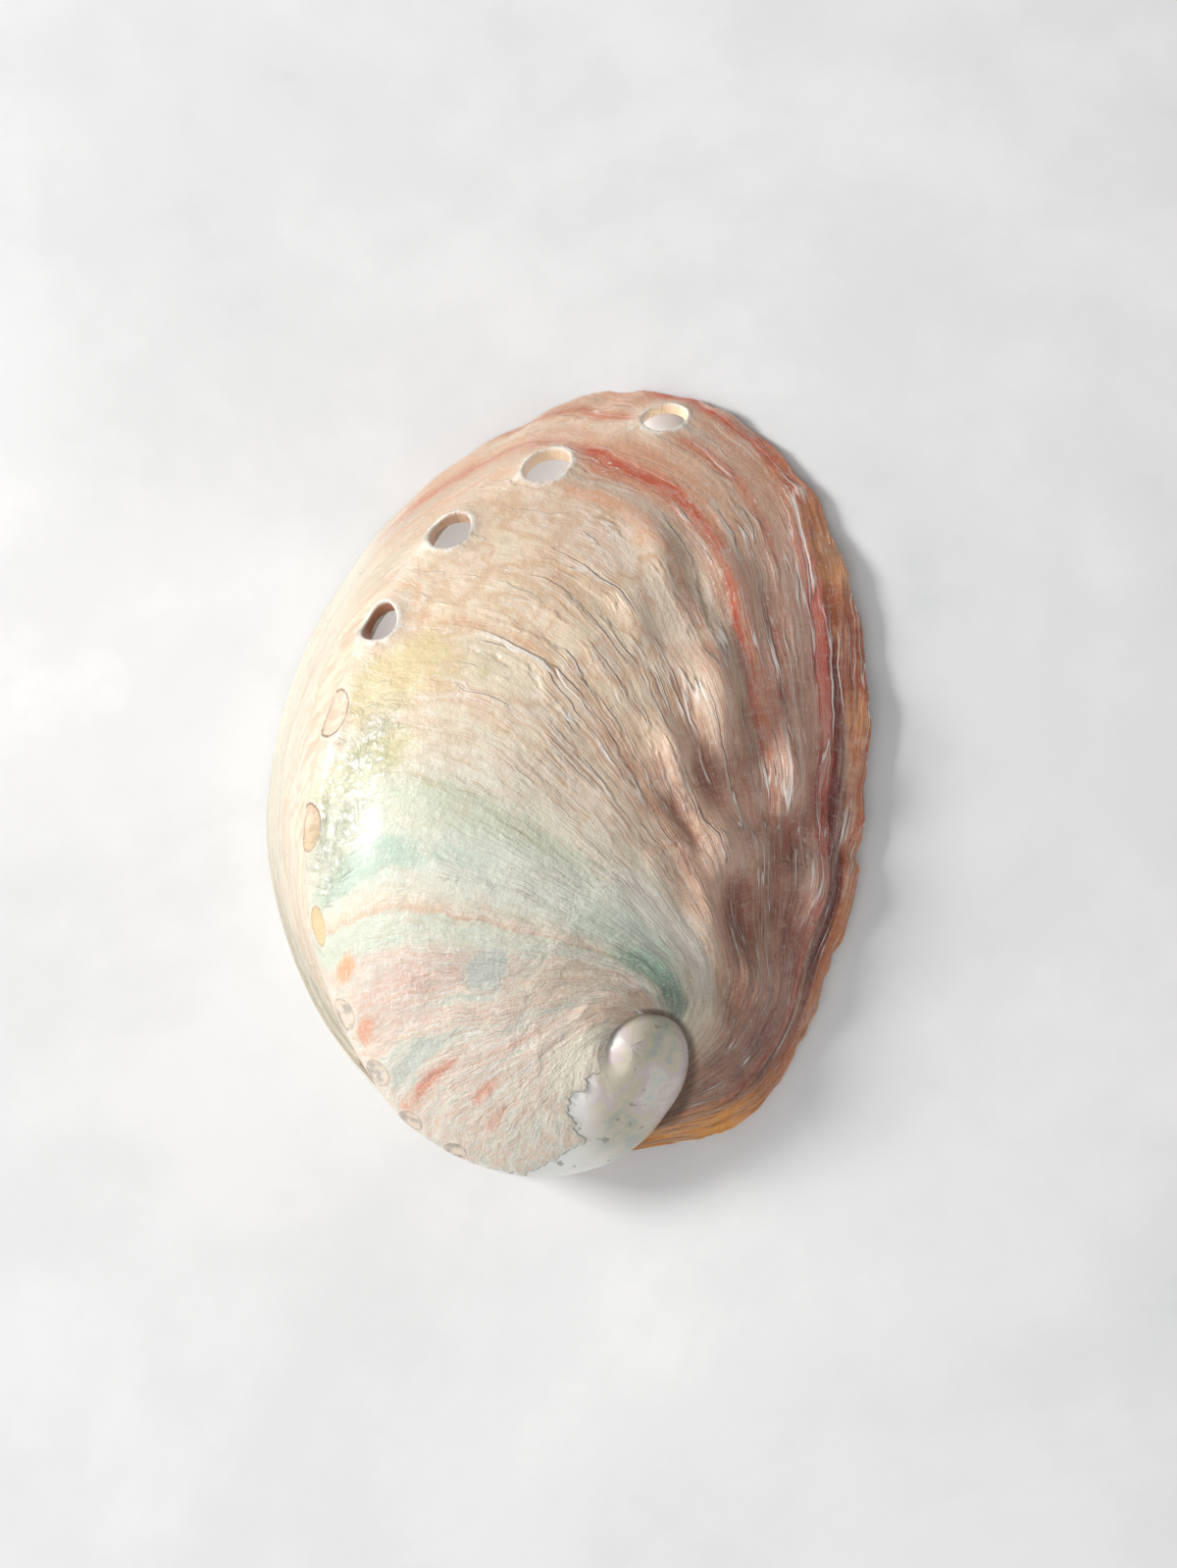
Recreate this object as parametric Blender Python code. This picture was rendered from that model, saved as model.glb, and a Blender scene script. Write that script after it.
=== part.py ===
# A dried abalone shell lying mouth down on a table. It is one solid: a domed whorl that
# widens fast, a small worn spire near the back, a row of pores along the left shoulder,
# four of them open, and the flat inner shelf of the left side.
# Units are metres, +Z is up and the newest pores are towards +Y.
import math

import bpy
import numpy as np

MM = 0.001

# Mouth margin in millimetres, from the suture round the right lip, over the front and
# back down the left side. Each point is x, y and the height above the table.
MOUTH = [
    (11.2, -46.2, 3.2),
    (20.5, -44.2, 2.2),
    (28.0, -36.9, 1.8),
    (33.0, -25.3, 2.0),
    (37.0, -13.4, 2.4),
    (37.5, -6.0, 2.6),
    (38.3, 6.6, 2.8),
    (37.2, 21.0, 2.6),
    (33.6, 33.0, 2.0),
    (26.7, 42.4, 1.2),
    (18.6, 47.6, 0.6),
    (10.4, 49.6, 0.2),
    (2.5, 49.8, 0.2),
    (-7.2, 44.9, 0.6),
    (-18.4, 37.6, 1.0),
    (-28.8, 25.2, 0.8),
    (-35.4, 11.7, 0.4),
    (-38.2, -4.0, 0.2),
    (-36.5, -17.2, 0.2),
    (-31.4, -29.7, 0.2),
    (-23.0, -40.0, 0.4),
    (-13.4, -46.8, 1.0),
    (-2.2, -48.2, 2.2),
]

# Growth. Looking back in time the mouth turns about a tilted axis through the apex and
# shrinks towards it. The oldest part is a smooth worn cap over the apex.
APEX = (8.4, -34.6, 20.0)
AXIS_TILT = math.radians(29.0)
AXIS_BEARING = math.radians(-41.0)
SHRINK = 0.573
SHRINK_EASE = 0.035
CAP_START = math.radians(235.0)
CAP_END = math.radians(335.0)
CAP_RISE = 2.4
CAP_LEAN = (-0.1, 0.1, 1.0)
CAP_CENTRE = (-4.0, 18.0, -15.0)

# Wall thickness in millimetres, thin at the lip.
LIP_WALL = 0.9
WALL = 2.2

# Pores: growth angle in degrees, place along the margin, length and width in
# millimetres. The first four are open and the rest have healed over.
PORES = [
    (4.0, 10.16, 6.6, 4.4),
    (13.5, 10.76, 6.8, 5.0),
    (22.5, 11.40, 6.2, 5.2),
    (34.0, 11.66, 5.6, 5.2),
    (44.5, 12.20, 5.6, 5.0),
    (60.5, 12.16, 5.2, 4.6),
    (80.0, 11.14, 4.6, 4.0),
    (98.5, 10.44, 4.0, 3.4),
    (115.0, 9.76, 3.6, 3.0),
    (129.0, 9.84, 3.2, 2.8),
    (145.0, 9.40, 2.8, 2.4),
]
OPEN_PORES = 4
RIM_RISE = 0.8
RIM_WIDTH = 1.1
SHOULDER_RISE = 0.8
BACK_BULGE = 1.6

# Inner shelf along the left side, in millimetres.
SHELF_WIDTH = 7.5
SHELF_WALL = 1.7

# Shell that fills the fold under the spire, where the old whorl meets the lip: places
# along the margin where it starts and ends, its inset, height and half thickness.
FOLD_START = 18.2
FOLD_END = 22.8
FOLD_INSET = 3.0
FOLD_HEIGHT = 2.0
FOLD_HALF = 2.7

RINGS = 150
POINTS_ROUND = 180
VOXEL = 0.00055
TRIANGLES = 8900


def clear_scene():
    for item in list(bpy.data.objects):
        bpy.data.objects.remove(item, do_unlink=True)


def margin(places):
    """Points on the smooth closed mouth margin. A whole place is a point of MOUTH."""
    knots = np.array(MOUTH)
    count = len(knots)
    base = np.floor(places).astype(int)
    part = (places - base)[..., None]
    p0 = knots[(base - 1) % count]
    p1 = knots[base % count]
    p2 = knots[(base + 1) % count]
    p3 = knots[(base + 2) % count]
    curve = 2.0 * p1 + (p2 - p0) * part
    curve = curve + (2.0 * p0 - 5.0 * p1 + 4.0 * p2 - p3) * part**2
    curve = curve + (3.0 * p1 - p0 - 3.0 * p2 + p3) * part**3
    return curve * 0.5


def smooth_step(value, start, end):
    share = np.clip((value - start) / (end - start), 0.0, 1.0)
    return share * share * (3.0 - 2.0 * share)


def growth_size(angle):
    """Size of the mouth, 1 at the lip, when this much growth was still to come."""
    return np.exp(-SHRINK * angle + SHRINK_EASE * angle**2)


def surface(angle, place):
    """The smooth outside of the shell at a growth angle and a place on the margin."""
    axis = np.array(
        [
            math.sin(AXIS_TILT) * math.cos(AXIS_BEARING),
            math.sin(AXIS_TILT) * math.sin(AXIS_BEARING),
            math.cos(AXIS_TILT),
        ]
    )
    centre = np.array(CAP_CENTRE)
    closing = np.clip((angle - CAP_START) / (CAP_END - CAP_START), 0.0, 1.0)[..., None]
    arm = centre + (margin(place) - np.array(APEX) - centre) * np.sqrt(1.0 - closing**2)
    turn_cos = np.cos(angle)[..., None]
    turn_sin = np.sin(angle)[..., None]
    along = (arm @ axis)[..., None]
    turned = arm * turn_cos + np.cross(axis, arm) * turn_sin + axis * along * (1.0 - turn_cos)
    size = growth_size(angle)[..., None]
    return np.array(APEX) + np.array(CAP_LEAN) * CAP_RISE * closing**2 + size * turned


def unit(vectors):
    return vectors / (np.linalg.norm(vectors, axis=-1, keepdims=True) + 1e-12)


def outward(angle, place):
    step = 0.002
    along = surface(angle + step, place) - surface(angle - step, place)
    around = surface(angle, place + step) - surface(angle, place - step)
    return unit(np.cross(around, along))


def pore_places():
    rows = np.array(PORES)
    angles = np.radians(rows[:, 0])
    centres = surface(angles, rows[:, 1])
    normals = outward(angles, rows[:, 1])
    tangents = np.gradient(centres, axis=0)
    tangents = unit(tangents - normals * (tangents * normals).sum(axis=1)[:, None])
    return centres, normals, tangents, rows[:, 2] * 0.5, rows[:, 3] * 0.5


def row_place(angle):
    """Place of the pore row on the margin at a growth angle."""
    rows = np.array(PORES)
    return np.interp(angle, np.radians(rows[:, 0]), rows[:, 1])


def relief(angle, place, points):
    """How far the real outside stands proud of the smooth one, in millimetres."""
    size = growth_size(angle)
    from_row = place - row_place(angle)
    proud = SHOULDER_RISE * np.exp(-((from_row / 0.9) ** 2)) * (1.0 - smooth_step(angle, 2.8, 3.6))
    proud = proud - 0.5 * np.exp(-(((from_row - 1.7) / 0.6) ** 2)) * (1.0 - smooth_step(angle, 2.0, 2.8))
    back = smooth_step(angle, 1.2, 2.3) * (1.0 - smooth_step(angle, 3.4, 4.2))
    proud = proud + BACK_BULGE * back * np.exp(-(((place - 10.5) / 4.0) ** 2))
    right = smooth_step(place, 1.0, 3.0) * (1.0 - smooth_step(place, 8.5, 10.0))
    waves = np.sin(2.9 * place + 5.0 * angle) * np.sin(11.0 * angle + 0.7 * place)
    proud = proud + 0.55 * right * waves * size * smooth_step(angle, 0.0, 0.25)
    lip = np.exp(-angle / 0.10) * (0.35 * np.sin(5.3 * place) + 0.25 * np.sin(9.1 * place + 1.0))
    proud = proud + lip * smooth_step(place, 0.5, 2.0) * (1.0 - smooth_step(place, 13.0, 16.0))
    steps = np.array([5.0, 14.5, 19.0, 38.0, 63.0, 86.0, 109.0, 130.0])
    for step in np.radians(steps):
        gap = (angle - step) / 0.05
        depth = 0.35 * size * (0.6 + 0.4 * np.sin(1.7 * place + 9.0 * step))
        proud = proud - depth * np.exp(-(gap**2))
    centres, normals, tangents, halves, widths = pore_places()
    for i in range(len(PORES)):
        offset = points - centres[i]
        side = np.cross(normals[i], tangents[i])
        a = (offset @ tangents[i]) / halves[i]
        b = (offset @ side) / widths[i]
        away = (np.sqrt(a * a + b * b) - 1.0) * 0.5 * (halves[i] + widths[i])
        level = np.abs(offset @ normals[i])
        near = np.exp(-((level / 4.0) ** 2))
        scale = widths[i] / 2.6
        proud = proud + RIM_RISE * scale * near * np.exp(-((away / (RIM_WIDTH * scale)) ** 2))
        if i >= OPEN_PORES:
            floor = 1.0 - smooth_step(away, -1.2 * scale, 0.0)
            proud = proud - 0.35 * scale * near * floor
    return proud


def make_object(name, vertices, faces):
    mesh = bpy.data.meshes.new(name)
    mesh.from_pydata([tuple(v) for v in vertices], [], faces)
    mesh.validate()
    mesh.update()
    item = bpy.data.objects.new(name, mesh)
    bpy.context.collection.objects.link(item)
    return item


def ring_faces(rows, cols, start, flip):
    faces = []
    for i in range(rows - 1):
        for j in range(cols):
            k = (j + 1) % cols
            a = start + i * cols + j
            b = start + i * cols + k
            c = start + (i + 1) * cols + k
            d = start + (i + 1) * cols + j
            if flip:
                faces.append((d, c, b, a))
            else:
                faces.append((a, b, c, d))
    return faces


def grown_walls():
    """The grown shell with its wall, closed by the rounded lip and the cap."""
    share = np.linspace(0.0, 1.0, RINGS)
    angles = (CAP_END - 0.004) * share**1.1
    places = np.arange(POINTS_ROUND) / POINTS_ROUND * len(MOUTH)
    angle, place = np.meshgrid(angles, places, indexing="ij")
    base = surface(angle, place)
    normal = outward(np.maximum(angle, 0.003), place)
    size = growth_size(angle)
    wall = LIP_WALL + (WALL - LIP_WALL) * (1.0 - np.exp(-angle / 0.25))
    wall = wall * np.minimum(1.0, size * 2.2)
    outside = base + normal * relief(angle, place, base)[..., None]
    inside = base - normal * wall[..., None]
    count = RINGS * POINTS_ROUND
    faces = ring_faces(RINGS, POINTS_ROUND, 0, False)
    faces += ring_faces(RINGS, POINTS_ROUND, count, True)
    for j in range(POINTS_ROUND):
        k = (j + 1) % POINTS_ROUND
        faces.append((j, count + j, count + k, k))
    faces.append(tuple(range(count - POINTS_ROUND, count)))
    faces.append(tuple(range(2 * count - 1, 2 * count - POINTS_ROUND - 1, -1)))
    vertices = np.concatenate([outside.reshape(-1, 3), inside.reshape(-1, 3)])
    return make_object("grown_walls", vertices * MM, faces)


def inner_shelf():
    """The flat shelf that runs back along the left side and curls up under the spire."""
    sections = 70
    share = np.linspace(0.0, 1.0, sections)
    places = 14.6 + share * 7.6
    edge = margin(places)
    ahead = margin(places + 0.05) - margin(places - 0.05)
    inward = np.stack([-ahead[:, 1], ahead[:, 0], 0.0 * share], axis=1)
    inward = unit(inward)
    width = SHELF_WIDTH * np.sin(math.pi * np.clip(share * 1.15, 0.0, 0.5)) ** 0.6
    width = width * (1.0 - 0.35 * smooth_step(share, 0.7, 1.0))
    climb = 6.0 * smooth_step(share, 0.62, 1.0) ** 1.5
    outer = edge + inward * 0.3
    outer[:, 2] = 0.15 + climb * 0.6
    inner = edge + inward * (0.3 + width)[:, None]
    inner[:, 2] = 1.1 + climb
    profile = []
    for turn in range(12):
        t = 2.0 * math.pi * turn / 12
        across = 0.5 - 0.5 * math.cos(t)
        thick = 0.5 * SHELF_WALL * math.sin(t)
        thick = math.copysign(abs(thick) ** 0.6, thick)
        middle = outer + (inner - outer) * across
        profile.append(middle + np.array([0.0, 0.0, 0.75 - thick]))
    rings = np.stack(profile, axis=1)
    faces = ring_faces(sections, 12, 0, False)
    faces.append(tuple(range(11, -1, -1)))
    faces.append(tuple(range((sections - 1) * 12, sections * 12)))
    return make_object("inner_shelf", rings.reshape(-1, 3) * MM, faces)


def fold_filling():
    sections = 40
    share = np.linspace(0.0, 1.0, sections)
    places = FOLD_START + share * (FOLD_END - FOLD_START)
    edge = margin(places)
    ahead = unit(margin(places + 0.05) - margin(places - 0.05))
    inward = unit(np.stack([-ahead[:, 1], ahead[:, 0], 0.0 * share], axis=1))
    middle = edge + inward * FOLD_INSET
    middle[:, 2] += FOLD_HEIGHT
    half = FOLD_HALF * np.sqrt(np.sin(math.pi * np.clip(share, 0.01, 0.99)))
    vertices = []
    for i in range(sections):
        for turn in range(16):
            t = 2.0 * math.pi * turn / 16
            offset = inward[i] * math.cos(t) + np.array([0.0, 0.0, math.sin(t)])
            vertices.append(middle[i] + offset * half[i])
    faces = ring_faces(sections, 16, 0, False)
    faces.append(tuple(range(15, -1, -1)))
    faces.append(tuple(range((sections - 1) * 16, sections * 16)))
    return make_object("fold_filling", np.array(vertices) * MM, faces)


def pore_cutter(index):
    centres, normals, tangents, halves, widths = pore_places()
    side = np.cross(normals[index], tangents[index])
    vertices = []
    for level, spread in ((-7.0, 0.86), (0.0, 0.9), (4.0, 1.25)):
        for turn in range(28):
            t = 2.0 * math.pi * turn / 28
            a = tangents[index] * halves[index] * math.cos(t)
            b = side * widths[index] * math.sin(t)
            vertices.append(centres[index] + normals[index] * level + (a + b) * spread)
    faces = ring_faces(3, 28, 0, False)
    faces.append(tuple(range(27, -1, -1)))
    faces.append(tuple(range(56, 84)))
    return make_object(f"pore_cutter_{index + 1}", np.array(vertices) * MM, faces)


def add_boolean(target, cutter, operation):
    cut = target.modifiers.new(cutter.name, "BOOLEAN")
    cut.object = cutter
    cut.operation = operation
    cut.solver = "EXACT"
    cutter.hide_render = True
    cutter.display_type = "WIRE"


def floor_block():
    """Everything below the table, which trims the margin flat where the shell rests."""
    bpy.ops.mesh.primitive_cube_add(size=1.0, location=(0.0, 0.0, -10.0 * MM))
    block = bpy.context.object
    block.name = "floor_block"
    block.scale = (120.0 * MM, 140.0 * MM, 20.0 * MM)
    bpy.ops.object.transform_apply(location=True, rotation=True, scale=True)
    return block


def nacre_material():
    material = bpy.data.materials.new("shell_tan_nacre")
    material.use_nodes = True
    shader = material.node_tree.nodes["Principled BSDF"]
    shader.inputs["Base Color"].default_value = (0.58, 0.43, 0.33, 1.0)
    shader.inputs["Roughness"].default_value = 0.35
    shader.inputs["Metallic"].default_value = 0.0
    material.diffuse_color = (0.58, 0.43, 0.33, 1.0)
    return material


clear_scene()
walls = grown_walls()
shelf = inner_shelf()
filling = fold_filling()
bpy.ops.object.select_all(action="DESELECT")
for item in (walls, shelf, filling):
    item.select_set(True)
bpy.context.view_layer.objects.active = walls
bpy.ops.object.join()
shell = bpy.context.object
shell.name = "shell"
shell.data.name = "shell"

fuse = shell.modifiers.new("fuse", "REMESH")
fuse.mode = "VOXEL"
fuse.voxel_size = VOXEL
fuse.adaptivity = 0.0
lighten = shell.modifiers.new("lighten", "DECIMATE")
lighten.ratio = TRIANGLES / 166000.0
for pore in range(OPEN_PORES):
    add_boolean(shell, pore_cutter(pore), "DIFFERENCE")
add_boolean(shell, floor_block(), "DIFFERENCE")

shell.data.materials.clear()
shell.data.materials.append(nacre_material())
shell.data.shade_smooth()
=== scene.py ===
import math

import bpy
import numpy as np

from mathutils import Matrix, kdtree


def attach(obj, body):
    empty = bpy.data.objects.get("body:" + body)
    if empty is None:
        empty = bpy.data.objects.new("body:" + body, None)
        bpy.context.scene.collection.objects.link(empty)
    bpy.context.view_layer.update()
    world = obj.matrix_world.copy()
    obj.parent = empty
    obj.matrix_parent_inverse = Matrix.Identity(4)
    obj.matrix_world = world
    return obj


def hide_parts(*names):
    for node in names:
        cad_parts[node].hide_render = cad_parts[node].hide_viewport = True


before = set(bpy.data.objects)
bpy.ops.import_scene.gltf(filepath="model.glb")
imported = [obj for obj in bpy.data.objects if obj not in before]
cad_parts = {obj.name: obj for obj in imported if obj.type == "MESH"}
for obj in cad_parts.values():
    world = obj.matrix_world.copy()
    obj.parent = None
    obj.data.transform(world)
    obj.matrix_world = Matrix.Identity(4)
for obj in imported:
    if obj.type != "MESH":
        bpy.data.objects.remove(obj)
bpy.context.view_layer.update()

MM = 0.001

# Mouth margin in millimetres, the same points as in the solid.
MOUTH = [
    (11.2, -46.2, 3.2),
    (20.5, -44.2, 2.2),
    (28.0, -36.9, 1.8),
    (33.0, -25.3, 2.0),
    (37.0, -13.4, 2.4),
    (37.5, -6.0, 2.6),
    (38.3, 6.6, 2.8),
    (37.2, 21.0, 2.6),
    (33.6, 33.0, 2.0),
    (26.7, 42.4, 1.2),
    (18.6, 47.6, 0.6),
    (10.4, 49.6, 0.2),
    (2.5, 49.8, 0.2),
    (-7.2, 44.9, 0.6),
    (-18.4, 37.6, 1.0),
    (-28.8, 25.2, 0.8),
    (-35.4, 11.7, 0.4),
    (-38.2, -4.0, 0.2),
    (-36.5, -17.2, 0.2),
    (-31.4, -29.7, 0.2),
    (-23.0, -40.0, 0.4),
    (-13.4, -46.8, 1.0),
    (-2.2, -48.2, 2.2),
]
PLACES = len(MOUTH)

# Growth, the same values as in the solid but for the three closed pores nearest the open
# ones, which lie a little nearer to where the photograph shows them.
APEX = (8.4, -34.6, 20.0)
AXIS_TILT = math.radians(29.0)
AXIS_BEARING = math.radians(-41.0)
SHRINK = 0.573
SHRINK_EASE = 0.035
CAP_START = math.radians(235.0)
CAP_END = math.radians(335.0)
CAP_RISE = 2.4
CAP_LEAN = (-0.1, 0.1, 1.0)
CAP_CENTRE = (-4.0, 18.0, -15.0)
LIP_WALL = 0.9
WALL = 2.2
PORES = [
    (4.0, 10.16, 6.6, 4.4),
    (13.5, 10.76, 6.8, 5.0),
    (22.5, 11.40, 6.2, 5.2),
    (34.0, 11.66, 5.6, 5.2),
    (45.0, 11.90, 6.2, 3.7),
    (61.0, 11.86, 6.0, 3.5),
    (79.0, 11.20, 5.0, 2.4),
    (98.5, 10.44, 4.0, 3.4),
    (115.0, 9.76, 3.6, 3.0),
    (129.0, 9.84, 3.2, 2.8),
    (145.0, 9.40, 2.8, 2.4),
]
OPEN_PORES = 4
RIM_RISE = 0.75
PLUG_RIM_RISE = 0.35
RIM_WIDTH = 1.3
SHOULDER_RISE = 0.8
BACK_BULGE = 1.6
WAVES = 0.15
SHELF_WIDTH = 7.5
SHELF_WALL = 1.7
FOLD_START = 18.2
FOLD_END = 22.8
FOLD_INSET = 3.0
FOLD_HEIGHT = 2.0
FOLD_HALF = 2.7

# Where the sheets are closed, a place hidden under the spire.
SEAM_PLACE = -1.0
ROLL = 0.02
LINES_LENGTH = 150.0

# Faces across and along each flat sheet, and corners of the table of random heights.
OUTSIDE_FACES = (400, 205)
LINING_FACES = (260, 170)
SHELF_FACES = (150, 28)
FOLD_FACES = (70, 24)
TILE = 256

# Details of the looks alone, in millimetres, and a share of a place.
PEELED_STEP = 0.26
TONGUE_RISE = 0.4
KNOB_RISE = 1.5
SEAM_FADE = 0.3
SHELF_DEPTH = 0.5
FOLD_DEPTH = 0.4
PRESSED_FROM = 0.4

# How far the growth lines lean back from the lip, in degrees, at places on the margin.
SLANT_PLACES = (-1.0, 1.2, 2.2, 3.2, 4.0, 5.0, 6.0, 7.0, 8.0, 8.8)
SLANTS = (14.0, 11.5, 8.5, 7.5, 7.0, 5.8, 4.4, 2.8, 0.9, 0.0)

# Broad lumps and hollows: x, y, half width across and along, turn in degrees, height.
KNOBS = [
    (19.2, 11.5, 2.7, 6.0, 12.0, 1.5),
    (23.0, 8.0, 2.2, 7.0, 8.0, -0.9),
    (28.4, 1.2, 2.4, 4.5, 5.0, 1.1),
    (32.0, -1.0, 1.8, 5.0, 5.0, -0.6),
    (29.2, -8.0, 3.2, 3.6, 0.0, -0.7),
    (13.6, 3.6, 2.2, 4.6, 30.0, 1.0),
    (17.6, 1.6, 2.2, 4.0, 25.0, -0.9),
    (14.4, -4.2, 1.0, 4.2, 34.0, -0.6),
    (19.6, -8.6, 2.6, 4.4, 15.0, 1.2),
    (17.6, -16.5, 2.0, 5.0, 10.0, 0.9),
    (21.6, -15.4, 2.0, 5.6, 10.0, -1.0),
    (31.6, -12.6, 2.0, 4.5, 5.0, 0.8),
    (28.2, -17.0, 2.0, 4.5, 5.0, -0.4),
    (12.2, 29.5, 2.2, 4.6, 38.0, 0.9),
    (15.4, 26.4, 1.8, 5.0, 32.0, -0.9),
    (20.8, 25.5, 2.0, 6.0, 24.0, 0.8),
    (25.4, 22.0, 1.8, 6.0, 15.0, -0.5),
    (8.8, 20.5, 1.8, 3.6, 30.0, 0.5),
    (11.6, 18.4, 1.6, 3.0, 30.0, -0.3),
    (24.5, -25.0, 2.6, 5.0, 30.0, 0.6),
    (19.5, -25.5, 1.6, 5.0, 25.0, -0.4),
    (2.0, 18.0, 4.0, 5.0, 40.0, 0.35),
    (-4.0, 4.0, 5.0, 5.0, 45.0, 0.3),
    (4.0, -7.0, 4.0, 3.5, 50.0, 0.3),
]

# Edge of the peeled outer layer round the worn spire, x and y in millimetres.
PEELED_EDGE = [
    (6.2, -34.6),
    (4.6, -35.6),
    (2.8, -36.6),
    (2.5, -38.2),
    (0.7, -38.8),
    (0.2, -39.9),
    (0.7, -41.4),
    (1.4, -43.4),
    (2.4, -44.4),
    (-1.5, -46.3),
    (-4.6, -47.4),
    (-8.0, -46.6),
    (-12.5, -45.2),
    (-16.0, -46.5),
    (-6.0, -54.0),
    (20.0, -50.0),
    (20.0, -30.0),
    (9.0, -27.5),
    (8.5, -30.8),
    (7.2, -32.0),
]


def margin(places):
    """Points on the smooth closed mouth margin. A whole place is a point of MOUTH."""
    knots = np.array(MOUTH)
    base = np.floor(places).astype(int)
    part = (places - base)[..., None]
    p0 = knots[(base - 1) % PLACES]
    p1 = knots[base % PLACES]
    p2 = knots[(base + 1) % PLACES]
    p3 = knots[(base + 2) % PLACES]
    curve = 2.0 * p1 + (p2 - p0) * part
    curve = curve + (2.0 * p0 - 5.0 * p1 + 4.0 * p2 - p3) * part**2
    curve = curve + (3.0 * p1 - p0 - 3.0 * p2 + p3) * part**3
    return curve * 0.5


def smooth_step(value, start, end):
    share = np.clip((value - start) / (end - start), 0.0, 1.0)
    return share * share * (3.0 - 2.0 * share)


def unit(vectors):
    return vectors / (np.linalg.norm(vectors, axis=-1, keepdims=True) + 1e-12)


def growth_size(angle):
    """Size of the mouth, 1 at the lip, when this much growth was still to come."""
    return np.exp(-SHRINK * angle + SHRINK_EASE * angle**2)


def surface(angle, place):
    """The smooth outside of the shell at a growth angle and a place on the margin."""
    axis = np.array(
        [
            math.sin(AXIS_TILT) * math.cos(AXIS_BEARING),
            math.sin(AXIS_TILT) * math.sin(AXIS_BEARING),
            math.cos(AXIS_TILT),
        ]
    )
    centre = np.array(CAP_CENTRE)
    closing = np.clip((angle - CAP_START) / (CAP_END - CAP_START), 0.0, 1.0)[..., None]
    arm = centre + (margin(place) - np.array(APEX) - centre) * np.sqrt(1.0 - closing**2)
    turn_cos = np.cos(angle)[..., None]
    turn_sin = np.sin(angle)[..., None]
    along = (arm @ axis)[..., None]
    turned = arm * turn_cos + np.cross(axis, arm) * turn_sin + axis * along * (1.0 - turn_cos)
    size = growth_size(angle)[..., None]
    return np.array(APEX) + np.array(CAP_LEAN) * CAP_RISE * closing**2 + size * turned


def outward(angle, place):
    step = 0.002
    angle = np.clip(angle, 0.003, CAP_END - 0.01)
    along = surface(angle + step, place) - surface(angle - step, place)
    around = surface(angle, place + step) - surface(angle, place - step)
    return unit(np.cross(around, along))


def pore_places():
    rows = np.array(PORES)
    angles = np.radians(rows[:, 0])
    centres = surface(angles, rows[:, 1])
    normals = outward(angles, rows[:, 1])
    tangents = np.gradient(centres, axis=0)
    tangents = unit(tangents - normals * (tangents * normals).sum(axis=1)[:, None])
    return centres, normals, tangents, rows[:, 2] * 0.5, rows[:, 3] * 0.5


PORE_CENTRES, PORE_NORMALS, PORE_TANGENTS, PORE_HALVES, PORE_WIDTHS = pore_places()


def pore_ellipse(pore, points):
    """Across and along a pore in shares of its half sizes, and the height above it."""
    offset = points - PORE_CENTRES[pore]
    side = np.cross(PORE_NORMALS[pore], PORE_TANGENTS[pore])
    a = (offset @ PORE_TANGENTS[pore]) / PORE_HALVES[pore]
    b = (offset @ side) / PORE_WIDTHS[pore]
    return a, b, offset @ PORE_NORMALS[pore]


def on_pore_ellipse(pore, turn, spread, level):
    """Points on a pore's oval, a little pointed at both ends."""
    side = np.cross(PORE_NORMALS[pore], PORE_TANGENTS[pore])
    swing = np.sin(turn) * np.abs(np.sin(turn)) ** 0.22
    a = PORE_TANGENTS[pore] * (PORE_HALVES[pore] * np.cos(turn) * spread)[:, None]
    b = side * (PORE_WIDTHS[pore] * swing * spread)[:, None]
    return PORE_CENTRES[pore] + a + b + PORE_NORMALS[pore] * level[:, None]


def pore_turn(a, b):
    """Turn of a point round a pore's pointed oval."""
    return np.arctan2(np.sign(b) * np.abs(b) ** (1.0 / 1.22), a)


def row_place(angle):
    """Place of the pore row on the margin at a growth angle."""
    rows = np.array(PORES)
    return np.interp(angle, np.radians(rows[:, 0]), rows[:, 1])


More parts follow.
